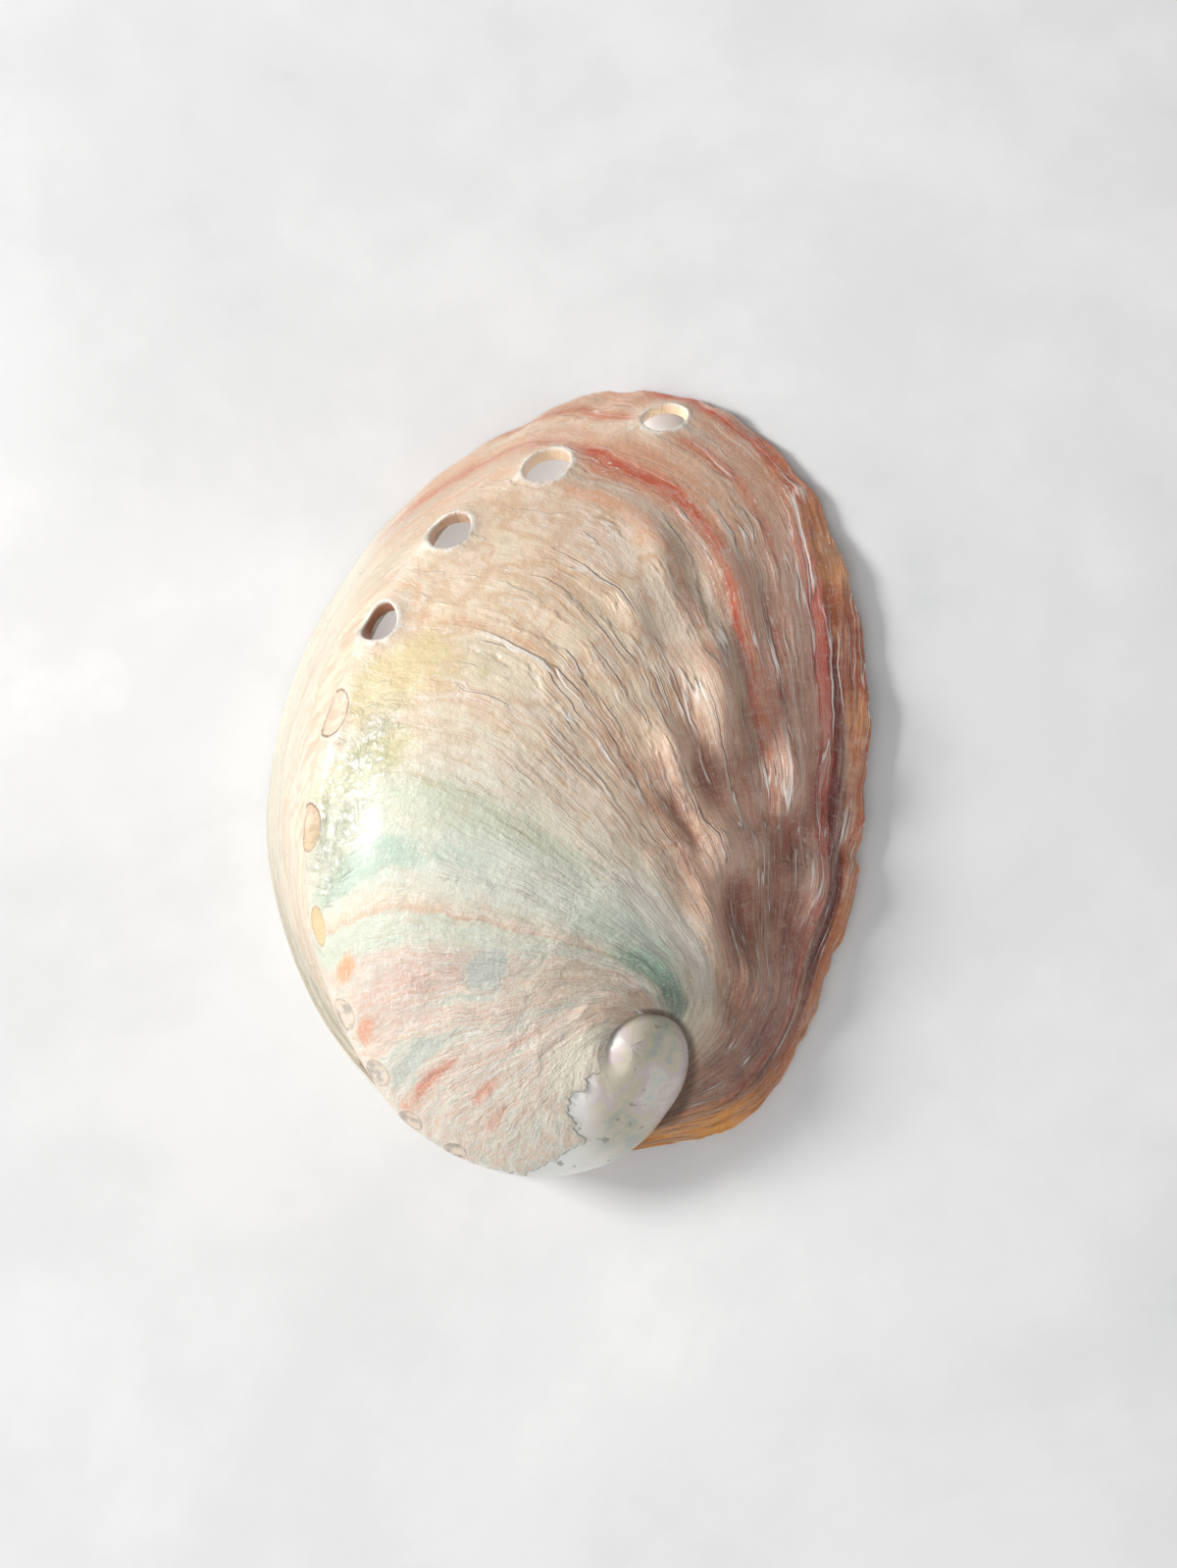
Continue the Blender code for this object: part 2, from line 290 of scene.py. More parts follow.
def relief(angle, place, points):
    """How far the outside stands proud of the smooth one, as in the solid."""
    size = growth_size(angle)
    from_row = place - row_place(angle)
    proud = SHOULDER_RISE * np.exp(-((from_row / 0.9) ** 2)) * (1.0 - smooth_step(angle, 2.8, 3.6))
    proud = proud - 0.5 * np.exp(-(((from_row - 1.7) / 0.6) ** 2)) * (1.0 - smooth_step(angle, 2.0, 2.8))
    back = smooth_step(angle, 1.2, 2.3) * (1.0 - smooth_step(angle, 3.4, 4.2))
    proud = proud + BACK_BULGE * back * np.exp(-(((place - 10.5) / 4.0) ** 2))
    right = smooth_step(place, 1.0, 3.0) * (1.0 - smooth_step(place, 8.5, 10.0))
    waves = np.sin(2.9 * place + 5.0 * angle) * np.sin(11.0 * angle + 0.7 * place)
    proud = proud + WAVES * right * waves * size * smooth_step(angle, 0.0, 0.25)
    lip = np.exp(-angle / 0.10) * (0.2 * np.sin(5.3 * place) + 0.12 * np.sin(9.1 * place + 1.0))
    proud = proud + lip * smooth_step(place, 0.5, 2.0) * (1.0 - smooth_step(place, 13.0, 16.0))
    steps = np.array([5.0, 14.5, 19.0, 38.0, 63.0, 86.0, 109.0, 130.0])
    for step in np.radians(steps):
        gap = (angle - step) / 0.05
        depth = 0.35 * size * (0.6 + 0.4 * np.sin(1.7 * place + 9.0 * step))
        proud = proud - depth * np.exp(-(gap**2))
    for i in range(len(PORES)):
        a, b, level = pore_ellipse(i, points)
        away = (np.sqrt(a * a + b * b) - 1.0) * 0.5 * (PORE_HALVES[i] + PORE_WIDTHS[i])
        near = np.exp(-((level / 4.0) ** 2))
        scale = PORE_WIDTHS[i] / 2.6
        flare = np.exp(-np.maximum(away, 0.0) / (RIM_WIDTH * scale)) * smooth_step(away, -0.5, 0.0)
        rise = RIM_RISE if i < OPEN_PORES else PLUG_RIM_RISE
        proud = proud + rise * scale * near * flare
        if i >= OPEN_PORES:
            floor = 1.0 - smooth_step(away, -0.35, 0.0)
            proud = proud - 0.12 * scale * near * floor
    return proud


def grown_distance(angle):
    """Millimetres grown since this growth angle, for even growth lines."""
    return 85.0 * (1.0 - np.exp(-SHRINK * angle)) / SHRINK


def line_angle(angle, place):
    """Growth angle of the growth line that runs through here. The lip cuts it at a slant."""
    turned = np.degrees(angle)
    slant = -np.interp(place, SLANT_PLACES, SLANTS)
    slant = slant - 6.0 * (1.0 - smooth_step(place, 0.5, 3.0)) * smooth_step(turned, 40.0, 90.0)
    past_row = np.minimum(place, 15.0) - 10.6
    slant = slant + (2.4 + 0.05 * turned) * 0.5 * (past_row + np.sqrt(past_row**2 + 1.2))
    return np.radians(turned + slant)


def uneven(x, y, seed):
    """Smooth random heights from -1 to 1, one to each whole x and y."""
    heights = np.random.default_rng(seed).uniform(-1.0, 1.0, (TILE, TILE))
    left = np.floor(x).astype(int)
    low = np.floor(y).astype(int)
    across = x - left
    across = across * across * (3.0 - 2.0 * across)
    up = y - low
    up = up * up * (3.0 - 2.0 * up)
    right = (left + 1) % TILE
    left = left % TILE
    high = (low + 1) % TILE
    low = low % TILE
    below = heights[left, low] * (1.0 - across) + heights[right, low] * across
    above = heights[left, high] * (1.0 - across) + heights[right, high] * across
    return below * (1.0 - up) + above * up


def growth_ridges(angle, place):
    """Sparse wrinkles and low ridges along the growth lines, in millimetres."""
    grown = grown_distance(line_angle(angle, place)) + 0.8 * uneven(place * 1.4, angle * 7.0, 5)
    fold = 1.0 - np.abs(uneven(place * 0.6 + 3.0, grown / 3.0, 2))
    ridges = 0.30 * fold**3 * smooth_step(uneven(place * 0.9, grown / 7.0, 6), -0.5, 0.6)
    ridges = ridges + 0.09 * uneven(place * 0.9, grown / 1.5, 1)
    ridges = ridges + 0.12 * uneven(place * 0.7 + 9.0, grown / 3.6, 7)
    ridges = ridges + 0.04 * uneven(place * 2.1, grown / 0.9, 3)
    strength = 0.3 + 0.9 * smooth_step(place, 0.0, 2.0) * (1.0 - smooth_step(place, 7.6, 10.5))
    patches = 0.7 + 0.6 * uneven(place * 0.8, grown / 9.0, 4)
    nodules = 0.24 * uneven(place * 7.0, angle * 45.0, 21) * np.exp(-angle / 0.05)
    nodules = nodules * smooth_step(place, 0.5, 2.0) * (1.0 - smooth_step(place, 9.0, 12.0))
    return ridges * strength * patches * np.minimum(1.0, growth_size(angle) * 1.6) + nodules


def knobs(points):
    """The broad lumps and hollows of the right side, in millimetres."""
    proud = np.zeros(len(points))
    for x, y, reach_x, reach_y, turn, height in KNOBS:
        lean = math.radians(turn)
        across = (points[:, 0] - x) * math.cos(lean) + (points[:, 1] - y) * math.sin(lean)
        along = (points[:, 1] - y) * math.cos(lean) - (points[:, 0] - x) * math.sin(lean)
        proud = proud + KNOB_RISE * height * np.exp(-((across / reach_x) ** 2) - (along / reach_y) ** 2)
    return proud


def peeled_reach(points):
    """Distance in from the edge of the peeled outer layer, in millimetres."""
    edge = np.array(PEELED_EDGE)
    x = points[:, 0] + 0.22 * np.sin(2.9 * points[:, 1] + 1.0) + 0.12 * np.sin(7.3 * points[:, 1])
    y = points[:, 1] + 0.22 * np.sin(3.3 * points[:, 0]) + 0.12 * np.sin(8.1 * points[:, 0] + 2.0)
    inside = np.zeros(len(x), dtype=bool)
    nearest = np.full(len(x), 1e9)
    for i in range(len(edge)):
        x0, y0 = edge[i]
        x1, y1 = edge[(i + 1) % len(edge)]
        crosses = ((y0 > y) != (y1 > y)) & (x < (x1 - x0) * (y - y0) / (y1 - y0 + 1e-9) + x0)
        inside ^= crosses
        length = (x1 - x0) ** 2 + (y1 - y0) ** 2
        share = np.clip(((x - x0) * (x1 - x0) + (y - y0) * (y1 - y0)) / length, 0.0, 1.0)
        gap = np.hypot(x - x0 - share * (x1 - x0), y - y0 - share * (y1 - y0))
        nearest = np.minimum(nearest, gap)
    return np.where(inside, nearest, -nearest)


def tongue_reach(points):
    """Distance from the raised tongue behind each open pore, in millimetres."""
    reach = np.full(len(points), 5.0)
    for i in range(OPEN_PORES):
        a, b, level = pore_ellipse(i, points)
        away = np.hypot((a - 1.5) / 0.9, (b + 0.25) / 0.45) - 0.6
        reach = np.minimum(reach, 0.5 + 1.2 * np.maximum(away, 0.0) + 0.15 * level**2)
    return reach


def settle(points):
    """Presses whatever would pass through the table flat against it."""
    low = points[:, 2] < PRESSED_FROM
    points[low, 2] = PRESSED_FROM * np.exp(points[low, 2] / PRESSED_FROM - 1.0)
    return points


def flat_sheet(name, across, along):
    """An even sheet of faces. Its x is the place and its y the growth, both 0 to 1."""
    bpy.ops.object.select_all(action="DESELECT")
    bpy.ops.mesh.primitive_grid_add(x_subdivisions=across, y_subdivisions=along, size=1.0)
    sheet = bpy.context.object
    sheet.name = name
    sheet.data.name = name
    return sheet


def read(things, name, wide=1, kind=np.float64):
    """One value, or a row of values, from each corner, edge or face of a mesh."""
    values = np.empty(len(things) * wide, dtype=kind)
    things.foreach_get(name, values)
    return values.reshape(-1, wide) if wide > 1 else values


def corners(item):
    return read(item.data.vertices, "co", 3)


def move_corners(item, points):
    item.data.vertices.foreach_set("co", points.reshape(-1))
    item.data.update()


def even_shares(density_places, density, count=4001):
    """A table from an even 0 to 1 to a value whose steps are finer where it is dense."""
    value = np.linspace(density_places[0], density_places[-1], count)
    weight = np.interp(value, density_places, density)
    total = np.concatenate([[0.0], np.cumsum(0.5 * (weight[1:] + weight[:-1]))])
    return total / total[-1], value


def sheet_growth(item):
    """Growth angle and place of each corner of a flat sheet."""
    flat = corners(item)
    x = np.clip(flat[:, 0] + 0.5, 0.0, 1.0)
    y = np.clip(flat[:, 1] + 0.5, 0.0, 1.0)
    places = [SEAM_PLACE, 0.5, 1.5, 13.0, 15.0, SEAM_PLACE + PLACES]
    shares, value = even_shares(places, [0.8, 1.0, 1.25, 1.25, 0.6, 0.6])
    place = np.interp(x, shares, value)
    angles = np.array([-ROLL, 0.0, 0.02, 0.04, 0.5, 1.0, 2.0, 3.0, 4.0, 5.0, 5.5, CAP_END])
    dense = growth_size(np.maximum(angles, 0.0))
    dense[:2] = 6.0
    dense[2] = 2.5
    dense[-2:] = (0.35, 0.9)
    shares, value = even_shares(angles, dense)
    angle = np.interp(y, shares, value)
    return angle, place


def select_faces(item, chosen):
    item.data.vertices.foreach_set("select", np.zeros(len(item.data.vertices), dtype=bool))
    item.data.edges.foreach_set("select", np.zeros(len(item.data.edges), dtype=bool))
    item.data.polygons.foreach_set("select", chosen)


def edit(item, kind):
    bpy.ops.object.select_all(action="DESELECT")
    item.select_set(True)
    bpy.context.view_layer.objects.active = item
    bpy.ops.object.mode_set(mode="EDIT")
    bpy.ops.mesh.select_mode(type=kind)


def finish_edit():
    bpy.ops.object.mode_set(mode="OBJECT")


def face_middles(item, values):
    """The mean of a corner value over each face."""
    loops = read(item.data.loops, "vertex_index", kind=np.int32)
    starts = read(item.data.polygons, "loop_start", kind=np.int32)
    counts = np.diff(np.append(starts, len(loops)))
    return np.add.reduceat(values[loops], starts) / counts


def nearest_pore(item):
    """Distance of each corner from the middle of its nearest open pore, 1 at the edge."""
    angle, place = sheet_growth(item)
    points = surface(np.maximum(angle, 0.0), place)
    away = np.full(len(points), 99.0)
    for pore in range(OPEN_PORES):
        a, b, level = pore_ellipse(pore, points)
        ratio = np.sqrt(a * a + b * b)
        away = np.minimum(away, np.where(np.abs(level) < 3.0, ratio, 99.0))
    return away


def open_pores_in(item, rounds):
    """Finer faces round the open pores, and none inside them."""
    for reach in rounds:
        near = face_middles(item, nearest_pore(item)) < reach
        select_faces(item, near)
        edit(item, "FACE")
        bpy.ops.mesh.subdivide(number_cuts=1)
        finish_edit()
    inside = face_middles(item, nearest_pore(item)) < 1.0
    select_faces(item, inside)
    edit(item, "FACE")
    bpy.ops.mesh.delete(type="FACE")
    finish_edit()


def open_edges(item):
    """Which edges of a mesh have a face on one side only, and their two corners."""
    used = read(item.data.loops, "edge_index", kind=np.int32)
    ends = read(item.data.edges, "vertices", 2, np.int32)
    return np.bincount(used, minlength=len(ends)) == 1, ends


def pore_loop(item, pore):
    """The edges and corners round one open pore of a shaped sheet."""
    points = corners(item) / MM
    a, b, level = pore_ellipse(pore, points)
    near = (np.sqrt(a * a + b * b) < 1.35) & (np.abs(level) < 5.0)
    free, ends = open_edges(item)
    chosen = free & near[ends[:, 0]] & near[ends[:, 1]]
    return chosen, np.unique(ends[chosen])


def loop_path(item, pore):
    """The corners round a pore, in their order along its edge."""
    chosen, around = pore_loop(item, pore)
    ends = open_edges(item)[1]
    links = {}
    for first, second in ends[chosen]:
        links.setdefault(first, []).append(second)
        links.setdefault(second, []).append(first)
    path = [around[0], links[around[0]][0]]
    while len(path) < len(around):
        onward = [corner for corner in links[path[-1]] if corner != path[-2]]
        if onward[0] == path[0]:
            break
        path.append(onward[0])
    return np.array(path)


def round_pore(item, pore, spread, even=False):
    """Puts the corners round a pore on its oval and returns their turn and height."""
    around = loop_path(item, pore)
    points = corners(item) / MM
    a, b, level = pore_ellipse(pore, points[around])
    turn = np.unwrap(pore_turn(a, b))
    way = np.sign(turn[-1] - turn[0])
    steady = np.maximum.accumulate(turn * way)
    steps = np.arange(len(turn)) * 2.0 * np.pi / len(turn)
    steps = steps + (steady - steps).mean()
    turn = way * (0.6 * steady + 0.4 * steps)
    turn = np.arctan2(np.sin(turn), np.cos(turn))
    if even:
        waves = [0.0 * turn + 1.0, np.cos(turn), np.sin(turn), np.cos(2 * turn), np.sin(2 * turn)]
        table = np.stack(waves, axis=1)
        level = table @ np.linalg.lstsq(table, level, rcond=None)[0]
    points[around] = on_pore_ellipse(pore, turn, np.full(len(turn), spread), level)
    move_corners(item, points * MM)
    return turn, level


def keep_growth(item, angle, place):
    """Stores place and growth as the sheet's UV map, before its seam is closed."""
    mesh = item.data
    loops = read(mesh.loops, "vertex_index", kind=np.int32)
    mesh.uv_layers[0].name = "growth"
    mesh.uv_layers.new(name="lines")
    across = place[loops] / PLACES
    line = grown_distance(line_angle(angle, place)[loops]) / LINES_LENGTH
    for name, along in (("growth", angle[loops] / CAP_END), ("lines", line)):
        pairs = np.stack([across, along], axis=1)
        mesh.uv_layers[name].data.foreach_set("uv", pairs.reshape(-1))


def keep_value(item, name, values):
    layer = item.data.attributes.get(name)
    if layer is None:
        layer = item.data.attributes.new(name, "FLOAT", "POINT")
    layer.data.foreach_set("value", values.astype(np.float32))


def close_seam(item, gap=0.00002):
    edit(item, "VERT")
    bpy.ops.mesh.select_all(action="SELECT")
    bpy.ops.mesh.remove_doubles(threshold=gap)
    finish_edit()


def wall_at(angle):
    wall = LIP_WALL + (WALL - LIP_WALL) * (1.0 - np.exp(-np.maximum(angle, 0.0) / 0.25))
    return wall * np.minimum(1.0, growth_size(angle) * 2.2)


def lip_scallops(angle, place):
    """How far the ragged lip reaches past its smooth line, in millimetres."""
    wave = 0.34 * uneven(place * 2.2, 0.0 * place, 11) + 0.24 * uneven(place * 5.3, 0.0 * place, 12)
    wave = wave + 0.12 * uneven(place * 11.0, 0.0 * place, 13)
    side = smooth_step(place, 0.0, 1.0) * (1.0 - smooth_step(place, 12.5, 14.0))
    return wave * side * np.exp(-np.maximum(angle, 0.0) / 0.07)


def grow_outside(item):
    """Bends the flat sheet into the outside of the shell."""
    angle, place = sheet_growth(item)
    real = np.maximum(angle, 0.0)
    base = surface(real, place)
    normal = outward(real, place)
    ahead = unit(surface(real, place) - surface(real + 0.004, place))
    facing_up = smooth_step(normal[:, 2], 0.2, 0.6)
    proud = relief(real, place, base) + growth_ridges(real, place) + knobs(base) * facing_up
    peeled = np.where(real > 2.35, peeled_reach(base), -2.0)
    peeled = np.where(real > CAP_START, 2.0, np.clip(peeled, -2.0, 2.0))
    proud = proud - PEELED_STEP * smooth_step(peeled, -0.08, 0.12) * (1.0 - smooth_step(real, 3.4, 4.0))
    proud = proud + TONGUE_RISE * np.exp(-np.maximum(tongue_reach(base) - 0.5, 0.0) / 0.9)
    last = SEAM_PLACE + PLACES
    proud = proud * smooth_step(place, SEAM_PLACE, SEAM_PLACE + SEAM_FADE)
    proud = proud * (1.0 - smooth_step(place, last - SEAM_FADE, last))
    points = base + normal * proud[:, None] + ahead * lip_scallops(real, place)[:, None]
    turn = np.pi * np.clip(-angle / ROLL, 0.0, 1.0)
    half = 0.5 * LIP_WALL
    points = points + normal * (half * (np.cos(turn) - 1.0))[:, None]
    points = points + ahead * (half * 0.8 * np.sin(turn))[:, None]
    move_corners(item, settle(points) * MM)
    keep_growth(item, real, place)
    keep_value(item, "peeled", peeled)
    keep_value(item, "lump", knobs(base))
    from_open = np.full(len(base), 5.0)
    from_plug = np.full(len(base), 5.0)
    for i in range(len(PORES)):
        a, b, level = pore_ellipse(i, base)
        away = (np.sqrt(a * a + b * b) - 1.0) * 0.5 * (PORE_HALVES[i] + PORE_WIDTHS[i])
        if i < OPEN_PORES:
            from_open = np.minimum(from_open, away + 0.15 * level**2)
        else:
            from_plug = np.minimum(from_plug, away + 0.03 * level**2)
    keep_value(item, "from_open_pore", np.minimum(from_open, tongue_reach(base)))
    keep_value(item, "from_plug", from_plug)
    keep_value(item, "pore_wall", np.zeros(len(base)))


def grow_lining(item):
    """Bends the flat sheet into the hollow side, one wall below the outside."""
    angle, place = sheet_growth(item)
    real = np.maximum(angle, 0.0)
    base = surface(real, place)
    normal = outward(real, place)
    wall = wall_at(real)
    for i in range(OPEN_PORES):
        a, b, level = pore_ellipse(i, base)
        away = (np.sqrt(a * a + b * b) - 1.0) * PORE_WIDTHS[i]
        near = (1.0 - smooth_step(away, 0.0, 2.6)) * np.exp(-((level / 3.0) ** 2))
        wall = wall * (1.0 - 0.5 * near)
    points = base - normal * wall[:, None]
    move_corners(item, settle(points) * MM)
    keep_growth(item, real, place)


def line_pore(item, pore, inner_turn, inner_level):
    """The wall of an open pore, from the rim of the outside down to the lining."""
    round_pore(item, pore, 1.0)
    order = np.argsort(inner_turn)
    inner_turn = inner_turn[order]
    turns = np.concatenate([inner_turn - 2 * np.pi, inner_turn, inner_turn + 2 * np.pi])
    levels = np.tile(inner_level[order], 3)
    for share, spread in ((0.03, 0.985), (0.12, 0.965), (0.4, 0.955), (1.0, 0.972)):
        chosen, around = pore_loop(item, pore)
        select_faces(item, np.zeros(len(item.data.polygons), dtype=bool))
        item.data.edges.foreach_set("select", chosen)
        picked = np.zeros(len(item.data.vertices), dtype=bool)
        picked[around] = True
        item.data.vertices.foreach_set("select", picked)
        edit(item, "EDGE")
        bpy.ops.mesh.extrude_edges_move()
        finish_edit()
        points = corners(item) / MM
        fresh = read(item.data.vertices, "select", kind=bool)
        a, b, level = pore_ellipse(pore, points[fresh])
        turn = pore_turn(a, b)
        goal = np.interp(turn, turns, levels)
        height = level + (goal - level) * share
        points[fresh] = on_pore_ellipse(pore, turn, np.full(len(turn), spread), height)
        move_corners(item, points * MM)
        depth = read(item.data.attributes["pore_wall"].data, "value", kind=np.float32)
        depth[fresh] = 0.15 + 0.85 * share
        keep_value(item, "pore_wall", depth)


def tuck_in(points, depth):
    """Keeps points of a hidden piece at least this far under the outside of the shell."""
    angles, places = np.meshgrid(np.linspace(0.02, 2.0, 240), np.linspace(13.0, 24.0, 330))
    skin = surface(angles.ravel(), places.ravel())
    facing = outward(angles.ravel(), places.ravel())
    near = kdtree.KDTree(len(skin))
    for i, spot in enumerate(skin):
        near.insert(spot, i)
    near.balance()
    found = np.array([near.find(point)[1] for point in points])
    reach = ((points - skin[found]) * facing[found]).sum(axis=1)
    return points - facing[found] * np.maximum(reach + depth, 0.0)[:, None]


def shape_shelf(item):
    """Bends a flat sheet round into the shelf along the left side of the mouth."""
    flat = corners(item)
    share = np.clip(flat[:, 0] + 0.5, 0.0, 1.0)
    turn = 2.0 * np.pi * np.clip(flat[:, 1] + 0.5, 0.0, 1.0)
    places = 14.6 + share * 7.6
    edge = margin(places)
    ahead = margin(places + 0.05) - margin(places - 0.05)
    inward = unit(np.stack([-ahead[:, 1], ahead[:, 0], 0.0 * share], axis=1))
    width = SHELF_WIDTH * np.sin(np.pi * np.clip(share * 1.15, 0.0, 0.5)) ** 0.6
    width = width * (1.0 - 0.35 * smooth_step(share, 0.7, 1.0))
    climb = 6.0 * smooth_step(share, 0.62, 1.0) ** 1.5
    outer = edge + inward * 1.9
    outer[:, 2] = 0.15 + climb * 0.6
    inner = edge + inward * (0.3 + np.maximum(width, 1.7))[:, None]
    inner[:, 2] = 1.1 + climb
    across = (0.5 - 0.5 * np.cos(turn))[:, None]
    ends = np.sqrt(np.clip(np.minimum(share, 1.0 - share) / 0.03, 0.0, 1.0))
    swing = np.sin(turn)
    thick = 0.5 * SHELF_WALL * np.sign(swing) * np.abs(swing) ** 0.6 * ends
    points = outer + (inner - outer) * across
    points[:, 2] += 0.75 - thick
    move_corners(item, settle(tuck_in(points, SHELF_DEPTH)) * MM)
    keep_growth(item, share * CAP_END * 0.3, places)


def shape_fold(item):
    """The rounded fold under the spire, where the old whorl meets the lip."""
    flat = corners(item)
    share = np.clip(flat[:, 0] + 0.5, 0.0, 1.0)
    turn = 2.0 * np.pi * np.clip(flat[:, 1] + 0.5, 0.0, 1.0)
    places = FOLD_START + share * (FOLD_END - FOLD_START)
    edge = margin(places)
    ahead = unit(margin(places + 0.05) - margin(places - 0.05))
    inward = unit(np.stack([-ahead[:, 1], ahead[:, 0], 0.0 * share], axis=1))
    middle = edge + inward * FOLD_INSET
    middle[:, 2] += FOLD_HEIGHT
    half = FOLD_HALF * np.sqrt(np.sin(np.pi * np.clip(share, 0.0, 1.0)))
    offset = inward * np.cos(turn)[:, None]
    offset[:, 2] += np.sin(turn)
    points = middle + offset * half[:, None]
    move_corners(item, settle(tuck_in(points, FOLD_DEPTH)) * MM)
    keep_growth(item, share * CAP_END * 0.2, places)
    plain = (("peeled", -2.0), ("lump", 0.0), ("from_open_pore", 5.0), ("from_plug", 5.0), ("pore_wall", 0.0))
    for name, value in plain:
        keep_value(item, name, np.full(len(points), value))


def turn_over(item):
    """Makes the faces of a sheet point the other way."""
    edit(item, "FACE")
    bpy.ops.mesh.select_all(action="SELECT")
    bpy.ops.mesh.flip_normals()
    finish_edit()


# Materials


def add(tree, kind, **settings):
    node = tree.nodes.new(kind)
    for name, value in settings.items():
        setattr(node, name, value)
    return node


def wire(tree, source, target):
    tree.links.new(source, target)


def maths(tree, operation, first, second=None, third=None):
    node = add(tree, "ShaderNodeMath", operation=operation)
    for i, value in enumerate((first, second, third)):
        if value is None:
            continue
        if isinstance(value, (int, float)):
            node.inputs[i].default_value = value
        else:
            wire(tree, value, node.inputs[i])
    return node.outputs[0]


def times(tree, first, second):
    return maths(tree, "MULTIPLY", first, second)


def plus(tree, first, second):
    return maths(tree, "ADD", first, second)


def minus(tree, first, second):
    return maths(tree, "SUBTRACT", first, second)


def kept_value(tree, name):
    return add(tree, "ShaderNodeAttribute", attribute_name=name).outputs["Fac"]


def wobble(tree, noise, reach):
    """A noise of 0 to 1 turned into one of minus reach to reach."""
    return maths(tree, "MULTIPLY_ADD", noise, 2.0 * reach, -reach)


def fade(tree, value, low, high, start=0.0, end=1.0):
    node = add(tree, "ShaderNodeMapRange", interpolation_type="SMOOTHSTEP")
    wire(tree, value, node.inputs["Value"])
    node.inputs["From Min"].default_value = low
    node.inputs["From Max"].default_value = high
    node.inputs["To Min"].default_value = start
    node.inputs["To Max"].default_value = end
    return node.outputs["Result"]


def tint(tree, share, first, second, blend="MIX"):
    node = add(tree, "ShaderNodeMix", data_type="RGBA", blend_type=blend)
    node.clamp_factor = True
    if isinstance(share, (int, float)):
        node.inputs[0].default_value = share
    else:
        wire(tree, share, node.inputs[0])
    for socket, value in ((node.inputs[6], first), (node.inputs[7], second)):
        if isinstance(value, tuple):
            socket.default_value = (*value, 1.0)
        else:
            wire(tree, value, socket)
    return node.outputs[2]


def bands(tree, value, stops, mode="EASE"):
    node = add(tree, "ShaderNodeValToRGB")
    node.color_ramp.interpolation = mode
    points = node.color_ramp.elements
    while len(points) < len(stops):
        points.new(0.5)
    for point, (where, colour) in zip(points, stops):
        point.position = where
        point.color = (*colour, 1.0)
    wire(tree, value, node.inputs[0])
    return node.outputs[0]


def grain(tree, vector, scale, detail=4.0, rough=0.55, stretch=None, twist=0.0):
    if stretch is not None:
        vector = stretched(tree, vector, stretch)
    node = add(tree, "ShaderNodeTexNoise")
    wire(tree, vector, node.inputs["Vector"])
    node.inputs["Scale"].default_value = scale
    node.inputs["Detail"].default_value = detail
    node.inputs["Roughness"].default_value = rough
    node.inputs["Distortion"].default_value = twist
    return node.outputs[0]


def stretched(tree, vector, scale):
    node = add(tree, "ShaderNodeMapping")
    wire(tree, vector, node.inputs["Vector"])
    node.inputs["Scale"].default_value = scale
    return node.outputs[0]


def paint(red, green, blue):
    """A colour as a paint card gives it, 0 to 255, turned into the shader's numbers."""
    shares = (red / 255.0, green / 255.0, blue / 255.0)
    return tuple(s / 12.92 if s <= 0.04045 else ((s + 0.055) / 1.055) ** 2.4 for s in shares)


def grown(tree, growth, low, high, start=0.0, end=1.0):
    """A fade between two growth angles in degrees."""
    return fade(tree, growth, degrees(low), degrees(high), start, end)


def lay(tree, colour, mask, card, strength=1.0, blend="MIX"):
    """A layer of paint over the colour so far, as strong as its mask."""
    if strength != 1.0:
        mask = times(tree, mask, strength)
    return tint(tree, mask, colour, paint(*card), blend)


def stain(tree, growth_map, middle, reach, turn, ragged):
    """A soft blot on the shell: its place and growth in degrees, and its half sizes."""
    node = add(tree, "ShaderNodeMapping", vector_type="TEXTURE")
    wire(tree, growth_map, node.inputs["Vector"])
    node.inputs["Location"].default_value = (middle[0] / PLACES, degrees(middle[1]), 0.0)
    node.inputs["Rotation"].default_value = (0.0, 0.0, math.radians(turn))
    node.inputs["Scale"].default_value = (reach[0] / PLACES, degrees(reach[1]), 1.0)
    length = add(tree, "ShaderNodeVectorMath", operation="LENGTH")
    wire(tree, node.outputs[0], length.inputs[0])
    distance = plus(tree, length.outputs["Value"], ragged)
    return fade(tree, distance, 1.2, 0.5)


def new_finish(name):
    material = bpy.data.materials.new(name)
    material.use_nodes = True
    tree = material.node_tree
    return material, tree, tree.nodes["Principled BSDF"]


def degrees(value):
    """A growth angle in degrees as a share of the whole growth."""
    return math.radians(value) / CAP_END


def line_share(value):
    """A growth line's angle in degrees as its share of the lines map."""
    return float(grown_distance(math.radians(value))) / LINES_LENGTH


# Colours along the growth lines, the line's angle in degrees and its paint.
RIGHT_BANDS = [
    (-14.0, (206, 134, 92)),
    (-6.0, (196, 120, 80)),
    (-3.6, (158, 76, 48)),
    (-1.8, (120, 34, 16)),
    (0.8, (132, 42, 24)),
    (1.6, (228, 122, 102)),
    (2.6, (240, 148, 128)),
    (3.1, (190, 60, 44)),
    (3.6, (220, 174, 158)),
    (6.4, (208, 168, 148)),
    (8.2, (196, 130, 106)),
    (8.8, (132, 66, 50)),
    (9.5, (208, 158, 140)),
    (11.2, (216, 160, 136)),
    (12.2, (228, 158, 124)),
    (12.6, (232, 112, 70)),
    (13.1, (196, 78, 52)),
    (13.6, (166, 122, 104)),
    (15.4, (178, 158, 140)),
    (16.6, (184, 160, 138)),
    (17.4, (214, 122, 86)),
    (18.4, (210, 164, 138)),
    (21.0, (246, 224, 204)),
    (27.0, (244, 216, 194)),
    (34.0, (242, 216, 194)),
]
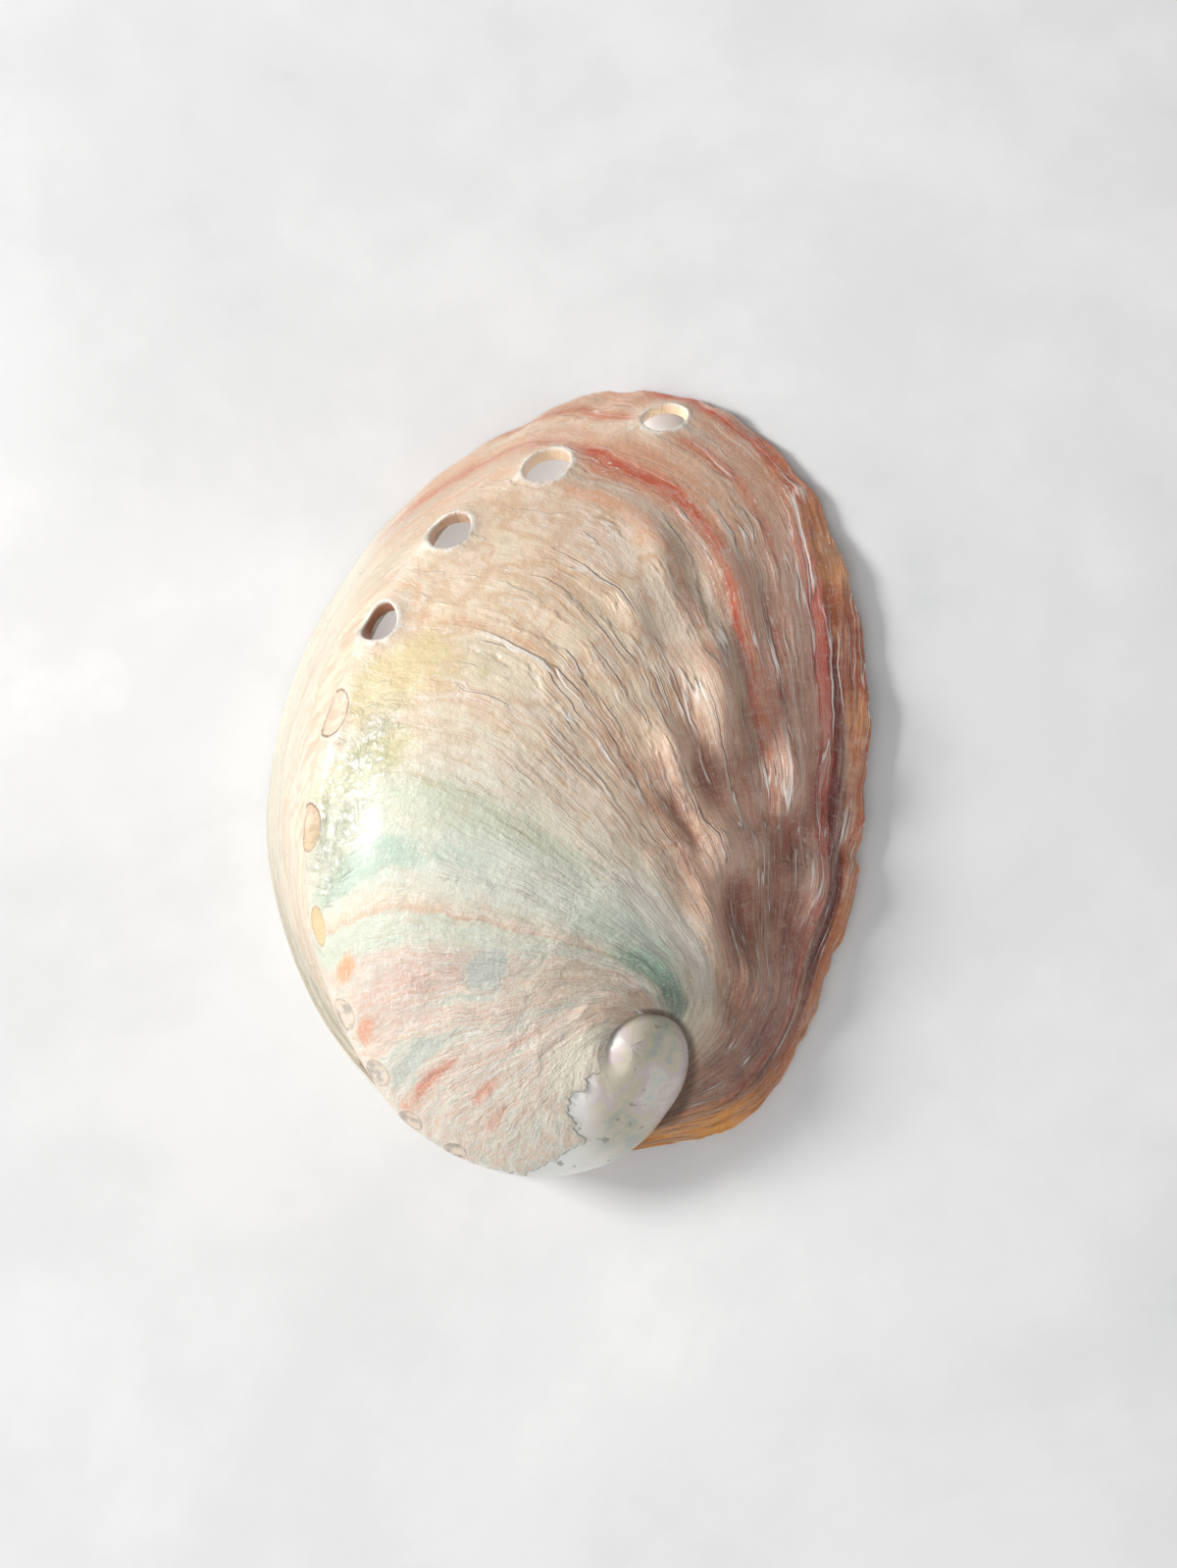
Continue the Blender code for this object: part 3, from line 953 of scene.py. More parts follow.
MIDDLE_BANDS = [
    (-14.0, (214, 146, 108)),
    (-1.0, (214, 140, 102)),
    (1.5, (206, 92, 66)),
    (2.6, (222, 168, 140)),
    (5.0, (226, 188, 162)),
    (6.4, (214, 132, 104)),
    (7.2, (230, 192, 164)),
    (11.0, (226, 168, 134)),
    (12.2, (210, 86, 58)),
    (13.4, (216, 150, 120)),
    (15.6, (208, 190, 168)),
    (17.2, (228, 166, 130)),
    (18.6, (222, 192, 164)),
    (28.0, (230, 202, 172)),
    (36.5, (232, 208, 178)),
    (38.0, (230, 188, 150)),
    (39.5, (232, 212, 184)),
    (50.0, (234, 224, 200)),
    (60.0, (226, 224, 204)),
    (63.0, (210, 216, 192)),
    (70.0, (220, 228, 210)),
    (80.0, (226, 230, 214)),
    (84.4, (234, 222, 200)),
    (85.2, (228, 176, 142)),
    (86.0, (214, 222, 206)),
    (92.0, (206, 220, 202)),
    (95.0, (224, 200, 186)),
    (98.0, (216, 210, 198)),
    (103.0, (230, 202, 186)),
    (108.0, (220, 220, 204)),
    (114.0, (230, 202, 184)),
    (118.0, (216, 222, 208)),
    (126.0, (236, 220, 206)),
    (129.0, (234, 168, 140)),
    (132.0, (236, 222, 208)),
    (145.0, (238, 222, 206)),
    (160.0, (240, 230, 212)),
    (175.0, (234, 228, 210)),
]

# Blots of colour: middle as place and growth, half sizes, turn, paint and strength.
BLOTS = [
    # The first blot, by the suture on the right, is partly own colour and partly painted shade.
    ((1.0, 26.0), (1.7, 17.0), 0.0, (176, 148, 134), 0.6),
    ((1.2, 62.0), (1.6, 20.0), 0.0, (196, 178, 156), 0.55),
    ((2.8, 62.0), (2.0, 10.0), 3.0, (236, 232, 218), 0.8),
    ((1.5, 90.0), (1.7, 12.0), 0.0, (136, 172, 146), 0.9),
    ((3.2, 78.0), (1.6, 9.0), 5.0, (196, 216, 196), 0.6),
    ((5.4, 74.0), (3.0, 9.0), 0.0, (230, 234, 220), 0.6),
    ((0.8, 120.0), (0.9, 9.0), 0.0, (196, 136, 106), 0.5),
    ((1.2, 150.0), (2.2, 30.0), 0.0, (230, 194, 160), 0.5),
    ((2.6, 176.0), (2.4, 24.0), 0.0, (244, 236, 214), 0.95),
    ((0.6, 92.0), (0.7, 16.0), 0.0, (104, 122, 100), 0.6),
    ((3.8, 112.0), (2.0, 14.0), 0.0, (216, 196, 170), 0.6),
    ((6.1, 104.0), (0.55, 9.0), 0.0, (196, 206, 196), 0.85),
    ((8.0, 104.0), (1.6, 9.0), 0.0, (212, 174, 160), 0.4),
    ((8.3, 120.0), (1.4, 3.4), 0.0, (194, 206, 196), 0.7),
    ((8.0, 127.5), (1.2, 1.9), 0.0, (228, 150, 124), 0.75),
    ((6.8, 143.5), (0.6, 3.4), 0.0, (232, 158, 130), 0.7),
    ((7.2, 154.0), (0.7, 2.2), 0.0, (232, 172, 146), 0.6),
    ((9.9, 92.0), (0.45, 3.0), 0.0, (236, 172, 124), 0.8),
    ((9.6, 106.0), (0.4, 2.4), 0.0, (236, 166, 130), 0.75),
    ((9.6, 127.0), (0.4, 2.4), 0.0, (236, 170, 136), 0.7),
    ((10.4, 44.0), (1.6, 6.5), 0.0, (222, 206, 150), 0.65),
    ((10.3, 57.0), (1.4, 5.0), 0.0, (208, 202, 136), 0.7),
    ((9.4, 75.0), (2.4, 4.2), 0.0, (170, 204, 186), 0.6),
    ((7.4, 66.0), (2.2, 5.0), 0.0, (204, 216, 190), 0.4),
    ((12.8, 52.0), (0.8, 12.0), 0.0, (196, 198, 150), 0.5),
    ((13.0, 78.0), (0.8, 9.0), 0.0, (168, 204, 184), 0.5),
    ((3.4, 28.0), (2.8, 22.0), 0.0, (200, 166, 152), 0.45),
    ((12.0, 12.0), (1.4, 8.0), -10.0, (232, 196, 166), 0.4),
]


def colour_along_lines(tree, line, stops):
    """A paint that changes from growth line to growth line."""
    first = line_share(stops[0][0])
    last = line_share(stops[-1][0])
    share = add(tree, "ShaderNodeMapRange")
    wire(tree, line, share.inputs["Value"])
    share.inputs["From Min"].default_value = first
    share.inputs["From Max"].default_value = last
    half = len(stops) // 2
    parts = []
    for some in (stops[: half + 1], stops[half:]):
        spots = [((line_share(a) - first) / (last - first), paint(*c)) for a, c in some]
        parts.append((spots, bands(tree, share.outputs[0], spots, "LINEAR")))
    switch = maths(tree, "GREATER_THAN", share.outputs[0], parts[1][0][0][0])
    return tint(tree, switch, parts[0][1], parts[1][1])


def outer_layer_finish():
    """The coloured outer layer, with its growth bands, threads, glints and worn nacre."""
    material, tree, shader = new_finish("shell_outer_layer")
    spots = add(tree, "ShaderNodeTexCoord").outputs["Object"]
    growth_map = add(tree, "ShaderNodeUVMap", uv_map="growth").outputs[0]
    lines_map = add(tree, "ShaderNodeUVMap", uv_map="lines").outputs[0]
    split = add(tree, "ShaderNodeSeparateXYZ")
    wire(tree, growth_map, split.inputs[0])
    place = times(tree, split.outputs[0], float(PLACES))
    growth = split.outputs[1]

    # Growth lines waver a little
    wander = grain(tree, spots, 90.0, 3.0)
    waver = grain(tree, growth_map, 1.0, 3.0, 0.5, stretch=(50.0, 40.0, 1.0))
    line_split = add(tree, "ShaderNodeSeparateXYZ")
    wire(tree, lines_map, line_split.inputs[0])
    drift = plus(tree, wobble(tree, wander, 0.006), wobble(tree, waver, 0.005))
    line = plus(tree, line_split.outputs[1], drift)
    joined = add(tree, "ShaderNodeCombineXYZ")
    wire(tree, line_split.outputs[0], joined.inputs[0])
    wire(tree, line, joined.inputs[1])
    lines_map = joined.outputs[0]
    fray = grain(tree, lines_map, 1.0, 4.0, 0.65, stretch=(26.0, 60.0, 1.0))
    line = plus(tree, line, wobble(tree, fray, 0.008))

    right_side = colour_along_lines(tree, line, RIGHT_BANDS)
    middle = colour_along_lines(tree, line, MIDDLE_BANDS)
    sway = wobble(tree, wander, 1.0)
    across = plus(tree, place, sway)
    recent = grown(tree, growth, 30.0, 22.0)
    rightness = times(tree, fade(tree, across, 8.6, 6.6), recent)
    colour = tint(tree, rightness, middle, right_side)
    thin_spots = grain(tree, lines_map, 1.0, 4.0, 0.62, stretch=(60.0, 130.0, 1.0))
    thin_spots = times(tree, fade(tree, thin_spots, 0.46, 0.62, 0.0, 0.7), grown(tree, growth, 5.0, 8.0))
    thin_spots = times(tree, thin_spots, fade(tree, place, 9.6, 8.4, 0.2, 1.0))
    thin_spots = times(tree, thin_spots, grown(tree, growth, 30.0, 20.0))
    colour = lay(tree, colour, thin_spots, (222, 190, 168))
    cream = fade(tree, across, 10.6, 13.0)
    cream = times(tree, cream, grown(tree, growth, 5.0, 22.0, 0.3, 0.9))
    colour = lay(tree, colour, cream, (216, 206, 184))
    far_left = fade(tree, place, 13.6, 14.8)
    far_paint = tint(tree, grown(tree, growth, 55.0, 85.0), paint(226, 220, 202), paint(236, 236, 222))
    colour = tint(tree, far_left, colour, far_paint)
    rim_reach = plus(tree, growth, wobble(tree, waver, degrees(1.0)))
    rim_zone = times(tree, grown(tree, rim_reach, 3.9, 2.9), fade(tree, place, 9.8, 7.0))
    early = times(tree, grown(tree, rim_reach, 11.0, 6.0), fade(tree, place, 3.2, 1.4))
    rim_zone = maths(tree, "MAXIMUM", rim_zone, early)
    rim_stops = [
        (0.02, paint(234, 150, 86)),
        (0.10, paint(222, 146, 92)),
        (0.19, paint(210, 136, 90)),
        (0.24, paint(206, 116, 74)),
        (0.30, paint(186, 102, 66)),
        (0.34, paint(214, 156, 112)),
    ]
    rim_along = bands(tree, split.outputs[0], rim_stops)
    rim_paint = tint(tree, grown(tree, rim_reach, 0.8, 3.2, 0.0, 0.6), rim_along, paint(160, 84, 54))
    rim_patches = fade(tree, grain(tree, growth_map, 1.0, 3.0, 0.6, stretch=(70.0, 60.0, 1.0)), 0.42, 0.62)
    rim_paint = tint(tree, rim_patches, rim_paint, paint(216, 152, 104))
    colour = tint(tree, times(tree, rim_zone, 0.92), colour, rim_paint)
    tip = stain(tree, growth_map, (0.2, 2.0), (1.4, 15.0), 0.0, wobble(tree, waver, 0.3))
    colour = lay(tree, colour, tip, (255, 182, 88), 0.92)

    # Marbled patches
    marble = grain(tree, lines_map, 1.0, 4.0, 0.62, stretch=(13.0, 30.0, 1.0), twist=0.5)
    cloud = grain(tree, spots, 130.0, 4.0, 0.6, twist=0.7)
    colour = lay(tree, colour, fade(tree, marble, 0.53, 0.68, 0.0, 0.5), (242, 230, 212))
    colour = lay(tree, colour, fade(tree, marble, 0.46, 0.30, 0.0, 0.34), (214, 170, 144), blend="MULTIPLY")
    colour = lay(tree, colour, fade(tree, cloud, 0.54, 0.70, 0.0, 0.35), (226, 200, 178))
    marble_hues = [
        (0.36, paint(212, 200, 168)),
        (0.44, paint(248, 232, 206)),
        (0.51, paint(224, 186, 154)),
        (0.57, paint(248, 232, 214)),
        (0.66, paint(232, 178, 134)),
    ]
    hue_cloud = times(tree, grain(tree, spots, 150.0, 3.0, 0.5, twist=0.3), 0.5)
    hue_streaks = grain(tree, lines_map, 1.0, 3.0, 0.5, stretch=(13.0, 34.0, 1.0))
    hue_cloud = plus(tree, hue_cloud, times(tree, hue_streaks, 0.5))
    hues = times(tree, grown(tree, growth, 14.0, 20.0), grown(tree, growth, 66.0, 50.0, 0.25, 1.0))
    colour = tint(tree, times(tree, hues, 0.48), colour, bands(tree, hue_cloud, marble_hues))

    # Stripes of the young shell
    old = grown(tree, growth, 84.0, 104.0)
    broad_stripes = grain(tree, lines_map, 1.0, 2.0, 0.5, stretch=(12.0, 105.0, 1.0))
    thin_stripes = grain(tree, lines_map, 1.0, 2.0, 0.5, stretch=(34.0, 400.0, 1.0))
    stripes = plus(tree, times(tree, broad_stripes, 0.6), times(tree, thin_stripes, 0.4))
    stripe_paint = bands(
        tree,
        stripes,
        [
            (0.34, paint(186, 210, 192)),
            (0.42, paint(222, 222, 208)),
            (0.47, paint(240, 230, 214)),
            (0.52, paint(230, 190, 168)),
            (0.55, paint(236, 216, 196)),
            (0.58, paint(212, 216, 198)),
            (0.66, paint(248, 240, 230)),
        ],
    )
    colour = tint(tree, times(tree, old, 0.6), colour, stripe_paint)
    old_flecks = times(tree, fade(tree, thin_stripes, 0.56, 0.64, 0.0, 0.6), old)
    colour = lay(tree, colour, old_flecks, (250, 244, 236))

    # Blots of colour; the first, by the suture on the right, is partly painted shade
    blotch = grain(tree, spots, 170.0, 4.0, 0.6)
    streaks = grain(tree, lines_map, 1.0, 3.0, 0.6, stretch=(22.0, 120.0, 1.0))
    ragged = plus(tree, wobble(tree, blotch, 0.45), wobble(tree, streaks, 0.45))
    for where, reach, turn, colour_card, strength in BLOTS:
        mask = stain(tree, growth_map, where, reach, turn, ragged)
        colour = lay(tree, colour, mask, colour_card, strength)

    # Lumps, with painted shade in the hollows between them and down the right slope, and a painted highlight
    # on their tops
    lump = kept_value(tree, "lump")
    mottle = grain(tree, spots, 380.0, 3.0, 0.65)
    rough_lump = plus(tree, lump, wobble(tree, cloud, 0.9))
    rough_lump = plus(tree, rough_lump, wobble(tree, mottle, 1.0))
    right_slope_painted_shade = fade(tree, across, 7.4, 5.4)
    right_slope_painted_shade = times(tree, right_slope_painted_shade, grown(tree, growth, 60.0, 36.0))
    shade = fade(tree, rough_lump, 0.9, -1.2, 0.0, 0.8)
    inside_rim = minus(tree, 1.0, maths(tree, "MAXIMUM", rim_zone, tip))
    shade = times(tree, shade, times(tree, right_slope_painted_shade, inside_rim))
    flange = times(tree, fade(tree, across, 4.6, 2.6), grown(tree, growth, 62.0, 40.0))
    flange = times(tree, flange, times(tree, inside_rim, fade(tree, across, 0.2, 1.6, 0.15, 1.0)))
    colour = lay(tree, colour, flange, (196, 150, 132), 0.5, blend="MULTIPLY")
    # Painted shade in the hollows between the lumps.
    colour = lay(tree, colour, shade, (172, 106, 80), blend="MULTIPLY")
    # Painted shade over the whole right slope.
    colour = lay(tree, colour, right_slope_painted_shade, (255, 238, 230), 0.8, blend="MULTIPLY")
    # Painted highlight on the tops of the lumps.
    colour = lay(tree, colour, fade(tree, rough_lump, 0.5, 1.6, 0.0, 0.3), (226, 186, 164))

    # Growth lines from broad to fine, and spiral threads
    broad = grain(tree, lines_map, 1.0, 2.0, 0.5, stretch=(9.0, 60.0, 1.0))
    lines = grain(tree, lines_map, 1.0, 3.0, 0.55, stretch=(14.0, 190.0, 1.0))
    silk = grain(tree, lines_map, 1.0, 3.0, 0.6, stretch=(26.0, 620.0, 1.0))
    threads = grain(tree, growth_map, 1.0, 3.0, 0.6, stretch=(360.0, 110.0, 1.0))
    patchwork = grain(tree, lines_map, 1.0, 3.0, 0.55, stretch=(20.0, 30.0, 1.0))
    right = fade(tree, place, 9.8, 6.6, 0.12, 1.0)
    right = times(tree, right, fade(tree, patchwork, 0.36, 0.62, 0.3, 1.2))
    colour = lay(tree, colour, fade(tree, broad, 0.45, 0.30, 0.0, 0.12), (222, 190, 168), blend="MULTIPLY")
    light = times(tree, fade(tree, lines, 0.52, 0.70, 0.0, 0.3), right)
    dark = times(tree, fade(tree, lines, 0.46, 0.32, 0.0, 0.24), right)
    colour = lay(tree, colour, light, (242, 230, 218))
    colour = lay(tree, colour, dark, (196, 152, 130), blend="MULTIPLY")
    # Fine silky striations: the lighter ones are partly own colour and partly painted sheen.
    silk_striation_and_sheen = times(tree, fade(tree, silk, 0.54, 0.74, 0.0, 0.45), right)
    silk_dark = times(tree, fade(tree, silk, 0.47, 0.28, 0.0, 0.4), right)
    colour = lay(tree, colour, silk_striation_and_sheen, (248, 240, 232))
    colour = lay(tree, colour, silk_dark, (200, 168, 150), blend="MULTIPLY")

    # Painted highlight: small white glints over the right side.
    speck = grain(tree, lines_map, 1.0, 2.0, 0.5, stretch=(420.0, 900.0, 1.0))
    painted_sparkle = times(tree, fade(tree, speck, 0.60, 0.68), fade(tree, silk, 0.44, 0.62, 0.1, 1.0))
    painted_sparkle = times(tree, painted_sparkle, fade(tree, place, 10.6, 7.0, 0.4, 1.0))
    colour = lay(tree, colour, painted_sparkle, (255, 250, 244), 0.7)

    woven = times(tree, fade(tree, threads, 0.52, 0.66), grown(tree, growth, 40.0, 70.0, 0.10, 0.45))
    colour = lay(tree, colour, woven, (244, 238, 228))

    # Wrinkles: painted shade along a crease, with a painted highlight on the crest beside it
    crease_value = grain(tree, lines_map, 1.0, 1.5, 0.4, stretch=(10.0, 74.0, 1.0))
    crease_mask = times(tree, fade(tree, patchwork, 0.44, 0.56), fade(tree, place, 9.6, 8.0, 0.3, 1.0))
    crease_mask = times(tree, crease_mask, grown(tree, growth, 58.0, 40.0, 0.06, 1.0))
    crease_painted_shade = fade(tree, maths(tree, "ABSOLUTE", minus(tree, crease_value, 0.5)), 0.012, 0.002)
    crest_painted_highlight = fade(tree, maths(tree, "ABSOLUTE", minus(tree, crease_value, 0.526)), 0.022, 0.004)
    colour = lay(tree, colour, times(tree, crease_painted_shade, crease_mask), (126, 88, 70), 0.5)
    colour = lay(tree, colour, times(tree, crest_painted_highlight, crease_mask), (252, 246, 240), 0.8)

    # Crinkled glare patch on the left shoulder, with painted highlight glints
    glare_patch = stain(tree, growth_map, (10.5, 62.0), (1.2, 15.0), 0.0, ragged)
    glare_crinkles = grain(tree, spots, 1100.0, 4.0, 0.7, twist=0.6)
    colour = lay(tree, colour, glare_patch, (216, 218, 186), 0.5)
    # Painted highlight: white glints in the glare patch.
    painted_glare_glints = times(tree, fade(tree, glare_crinkles, 0.52, 0.57), fade(tree, glare_patch, 0.4, 0.8))
    colour = lay(tree, colour, painted_glare_glints, (255, 255, 250), 0.9)

    # White flakes, partly the shell's own chalky spots and partly painted glints
    flakes = grain(tree, lines_map, 1.0, 4.0, 0.74, stretch=(80.0, 240.0, 1.0))
    flake_and_painted_glint = times(tree, fade(tree, flakes, 0.60, 0.66), fade(tree, cloud, 0.44, 0.58))
    colour = lay(tree, colour, flake_and_painted_glint, (252, 248, 242), 0.75)

    # Rims, plugs and pore walls
    from_open = kept_value(tree, "from_open_pore")
    from_plug = kept_value(tree, "from_plug")
    pore_wall = kept_value(tree, "pore_wall")
    crumbly = wobble(tree, grain(tree, spots, 700.0, 4.0, 0.65), 1.2)
    chalk = fade(tree, plus(tree, from_open, crumbly), 0.55, 0.0, 0.0, 0.85)
    flared = fade(tree, from_open, 2.6, 0.4, 0.0, 0.5)
    colour = lay(tree, colour, flared, (234, 214, 190))
    colour = lay(tree, colour, chalk, (246, 240, 230))
    plug_rim = fade(tree, plus(tree, from_plug, times(tree, crumbly, 0.4)), 0.6, 0.2, 0.0, 0.6)
    colour = lay(tree, colour, plug_rim, (238, 228, 212))
    plug = fade(tree, from_plug, 0.05, -0.12)
    old_plug = grown(tree, growth, 56.0, 70.0)
    plug_cloud = fade(tree, grain(tree, spots, 520.0, 3.0, 0.55), 0.40, 0.62)
    old_paint = tint(tree, plug_cloud, paint(150, 144, 136), paint(232, 226, 216))
    plug_paint = tint(tree, old_plug, paint(222, 188, 160), old_paint)
    plug_paint = tint(tree, plug_cloud, plug_paint, paint(236, 210, 186))
    slit = times(tree, old_plug, grown(tree, growth, 90.0, 84.0))
    plug_paint = tint(tree, slit, plug_paint, paint(224, 186, 112))
    colour = tint(tree, times(tree, plug, fade(tree, old_plug, 0.0, 1.0, 0.85, 0.6)), colour, plug_paint)
    groove = times(tree, fade(tree, from_plug, 0.16, 0.02), fade(tree, from_plug, -0.26, -0.08))
    colour = lay(tree, colour, times(tree, groove, fade(tree, old_plug, 0.0, 1.0, 0.75, 0.3)), (142, 108, 84))
    older_wall = grown(tree, growth, 6.0, 36.0)
    wall_paint = tint(tree, older_wall, paint(240, 214, 184), paint(196, 134, 98))
    colour = tint(tree, fade(tree, pore_wall, 0.17, 0.35), colour, wall_paint)

    # Bare nacre of the spire, its edge with a painted shadow line, and painted shade in the groove under it
    peeled = kept_value(tree, "peeled")
    torn = plus(tree, peeled, times(tree, crumbly, 0.14))
    bare = fade(tree, torn, -0.08, 0.06)
    pearl_cloud = grain(tree, spots, 150.0, 4.0, 0.55)
    pearl_stops = [
        (0.32, paint(186, 190, 178)),
        (0.42, paint(214, 204, 182)),
        (0.52, paint(216, 202, 200)),
        (0.60, paint(226, 220, 210)),
        (0.70, paint(196, 208, 204)),
    ]
    pearl = bands(tree, pearl_cloud, pearl_stops)
    pearl = tint(tree, grown(tree, growth, 225.0, 185.0, 0.0, 1.0), pearl, paint(255, 255, 250))
    pits = grain(tree, spots, 640.0, 2.0, 0.5)
    pearl = tint(tree, fade(tree, pits, 0.66, 0.74, 0.0, 0.6), pearl, paint(128, 124, 112))
    colour = tint(tree, bare, colour, pearl)
    crust = times(tree, fade(tree, torn, -0.34, -0.10), fade(tree, torn, 0.02, -0.08))
    colour = lay(tree, colour, crust, (250, 244, 230), 0.8)
    # Painted shadow line just inside the edge of the outer layer.
    painted_shadow_under_crust = times(tree, fade(tree, torn, -0.08, 0.02), fade(tree, torn, 0.26, 0.08))
    colour = lay(tree, colour, painted_shadow_under_crust, (164, 156, 140), 0.4)
    # Painted shade in the suture groove under the spire.
    suture_painted_shade = times(tree, fade(tree, place, 0.20, -0.02), fade(tree, place, -1.0, -0.6, 0.2, 1.0))
    suture_painted_shade = times(tree, suture_painted_shade, grown(tree, growth, 150.0, 120.0))
    suture_painted_shade = times(tree, suture_painted_shade, grown(tree, growth, 7.0, 16.0))
    colour = lay(tree, colour, suture_painted_shade, (104, 78, 58), 0.75)
    wire(tree, colour, shader.inputs["Base Color"])

    # Gloss
    rough = fade(tree, mottle, 0.3, 0.7, 0.26, 0.5)
    rough = minus(tree, rough, times(tree, flake_and_painted_glint, 0.1))
    rough = minus(tree, rough, times(tree, glare_patch, 0.16))
    wire(tree, rough, shader.inputs["Roughness"])
    shader.inputs["Coat Weight"].default_value = 0.25
    shader.inputs["Coat Roughness"].default_value = 0.22

    # Bump, its height in millimetres
    rise = times(tree, lines, times(tree, right, 0.20))
    rise = plus(tree, rise, times(tree, silk, times(tree, right, 0.13)))
    crinkle = grain(tree, spots, 900.0, 3.0, 0.7)
    rise = plus(tree, rise, times(tree, crinkle, 0.15))
    rise = plus(tree, rise, times(tree, glare_crinkles, times(tree, glare_patch, 0.8)))
    rise = plus(tree, rise, times(tree, threads, 0.03))
    rise = plus(tree, rise, times(tree, flakes, 0.12))
    rise = plus(tree, rise, times(tree, broad, 0.20))
    step = times(tree, fade(tree, crease_value, 0.49, 0.53), crease_mask)
    rise = plus(tree, rise, times(tree, step, 0.22))
    rise = plus(tree, rise, times(tree, mottle, 0.14))
    rise = times(tree, rise, fade(tree, bare, 0.0, 1.0, 1.0, 0.10))
    bump = add(tree, "ShaderNodeBump")
    bump.inputs["Strength"].default_value = 1.0
    bump.inputs["Distance"].default_value = 0.001
    wire(tree, rise, bump.inputs["Height"])
    wire(tree, bump.outputs[0], shader.inputs["Normal"])
    return material


def nacre_finish():
    """Mother of pearl on the hollow side: silver with soft rose, green and blue."""
    material, tree, shader = new_finish("nacre_lining")
    spots = add(tree, "ShaderNodeTexCoord").outputs["Object"]
    growth_map = add(tree, "ShaderNodeUVMap", uv_map="growth").outputs[0]
    split = add(tree, "ShaderNodeSeparateXYZ")
    wire(tree, growth_map, split.inputs[0])
    cloud = grain(tree, spots, 42.0, 5.0, 0.6, twist=1.6)
    swirl = grain(tree, growth_map, 1.0, 4.0, 0.55, stretch=(26.0, 60.0, 1.0), twist=0.8)
    mixed = plus(tree, times(tree, cloud, 0.6), times(tree, swirl, 0.4))
    colour = bands(
        tree,
        mixed,
        [
            (0.30, (0.52, 0.66, 0.66)),
            (0.40, (0.62, 0.76, 0.66)),
            (0.47, (0.80, 0.80, 0.72)),
            (0.53, (0.84, 0.70, 0.68)),
            (0.60, (0.70, 0.60, 0.70)),
            (0.68, (0.58, 0.68, 0.76)),
            (0.76, (0.74, 0.80, 0.66)),
        ],
    )
    ripples = grain(tree, growth_map, 1.0, 3.0, 0.5, stretch=(20.0, 420.0, 1.0))
    colour = tint(tree, fade(tree, ripples, 0.5, 0.75, 0.0, 0.4), colour, (0.92, 0.90, 0.86))
    edge = grown(tree, split.outputs[1], 2.4, 0.6)
    colour = tint(tree, edge, colour, (0.52, 0.28, 0.16))
    wire(tree, colour, shader.inputs["Base Color"])
    wire(tree, fade(tree, cloud, 0.3, 0.7, 0.16, 0.32), shader.inputs["Roughness"])
    shader.inputs["Metallic"].default_value = 0.15
    shader.inputs["Coat Weight"].default_value = 0.4
    shader.inputs["Coat Roughness"].default_value = 0.12
    bump = add(tree, "ShaderNodeBump")
    bump.inputs["Strength"].default_value = 0.5
    bump.inputs["Distance"].default_value = 0.0003
    wire(tree, plus(tree, cloud, times(tree, ripples, 0.3)), bump.inputs["Height"])
    wire(tree, bump.outputs[0], shader.inputs["Normal"])
    return material


def table_finish():
    """Pale stone with soft clouds of grey."""
    material, tree, shader = new_finish("pale_table")
    spots = add(tree, "ShaderNodeTexCoord").outputs["Object"]
    cloud = grain(tree, spots, 11.0, 6.0, 0.55, twist=0.6)
    fine = grain(tree, spots, 60.0, 5.0, 0.6)
    mixed = plus(tree, times(tree, cloud, 0.75), times(tree, fine, 0.25))
    stone = [
        (0.30, (0.68, 0.70, 0.71)),
        (0.44, (0.80, 0.805, 0.81)),
        (0.56, (0.86, 0.86, 0.865)),
        (0.68, (0.93, 0.93, 0.93)),
    ]
    colour = bands(tree, mixed, stone)
    wire(tree, colour, shader.inputs["Base Color"])
    wire(tree, fade(tree, fine, 0.3, 0.7, 0.4, 0.55), shader.inputs["Roughness"])
    bump = add(tree, "ShaderNodeBump")
    bump.inputs["Strength"].default_value = 0.2
    bump.inputs["Distance"].default_value = 0.0004
    wire(tree, fine, bump.inputs["Height"])
    wire(tree, bump.outputs[0], shader.inputs["Normal"])
    return material


def dress(item, material):
    item.data.materials.clear()
    item.data.materials.append(material)
    bpy.ops.object.select_all(action="DESELECT")
    item.select_set(True)
    bpy.context.view_layer.objects.active = item
    bpy.ops.object.shade_smooth()
    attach(item, "root")
    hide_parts("shell")


outer_layer = outer_layer_finish()
nacre = nacre_finish()

lining = flat_sheet("shell_lining", *LINING_FACES)
open_pores_in(lining, (1.7,))
grow_lining(lining)
inner_rings = [round_pore(lining, pore, 0.97, even=True) for pore in range(OPEN_PORES)]
close_seam(lining)
turn_over(lining)

outside = flat_sheet("shell_outside", *OUTSIDE_FACES)
open_pores_in(outside, (1.9, 1.5))
grow_outside(outside)
for pore, (inner_turn, inner_level) in enumerate(inner_rings):
    line_pore(outside, pore, inner_turn, inner_level)
close_seam(outside)

shelf = flat_sheet("inner_shelf", *SHELF_FACES)
shape_shelf(shelf)
close_seam(shelf)
fold = flat_sheet("spire_fold", *FOLD_FACES)
shape_fold(fold)
close_seam(fold)

dress(outside, outer_layer)
dress(fold, outer_layer)
for item in (lining, shelf):
    dress(item, nacre)

# Table, light and camera
bpy.ops.object.select_all(action="DESELECT")
bpy.ops.mesh.primitive_plane_add(size=4.0, location=(0.0, 0.0, -0.00005))
table = bpy.context.object
table.name = "table"
bpy.ops.object.transform_apply(location=True, rotation=True, scale=True)
table.data.materials.append(table_finish())


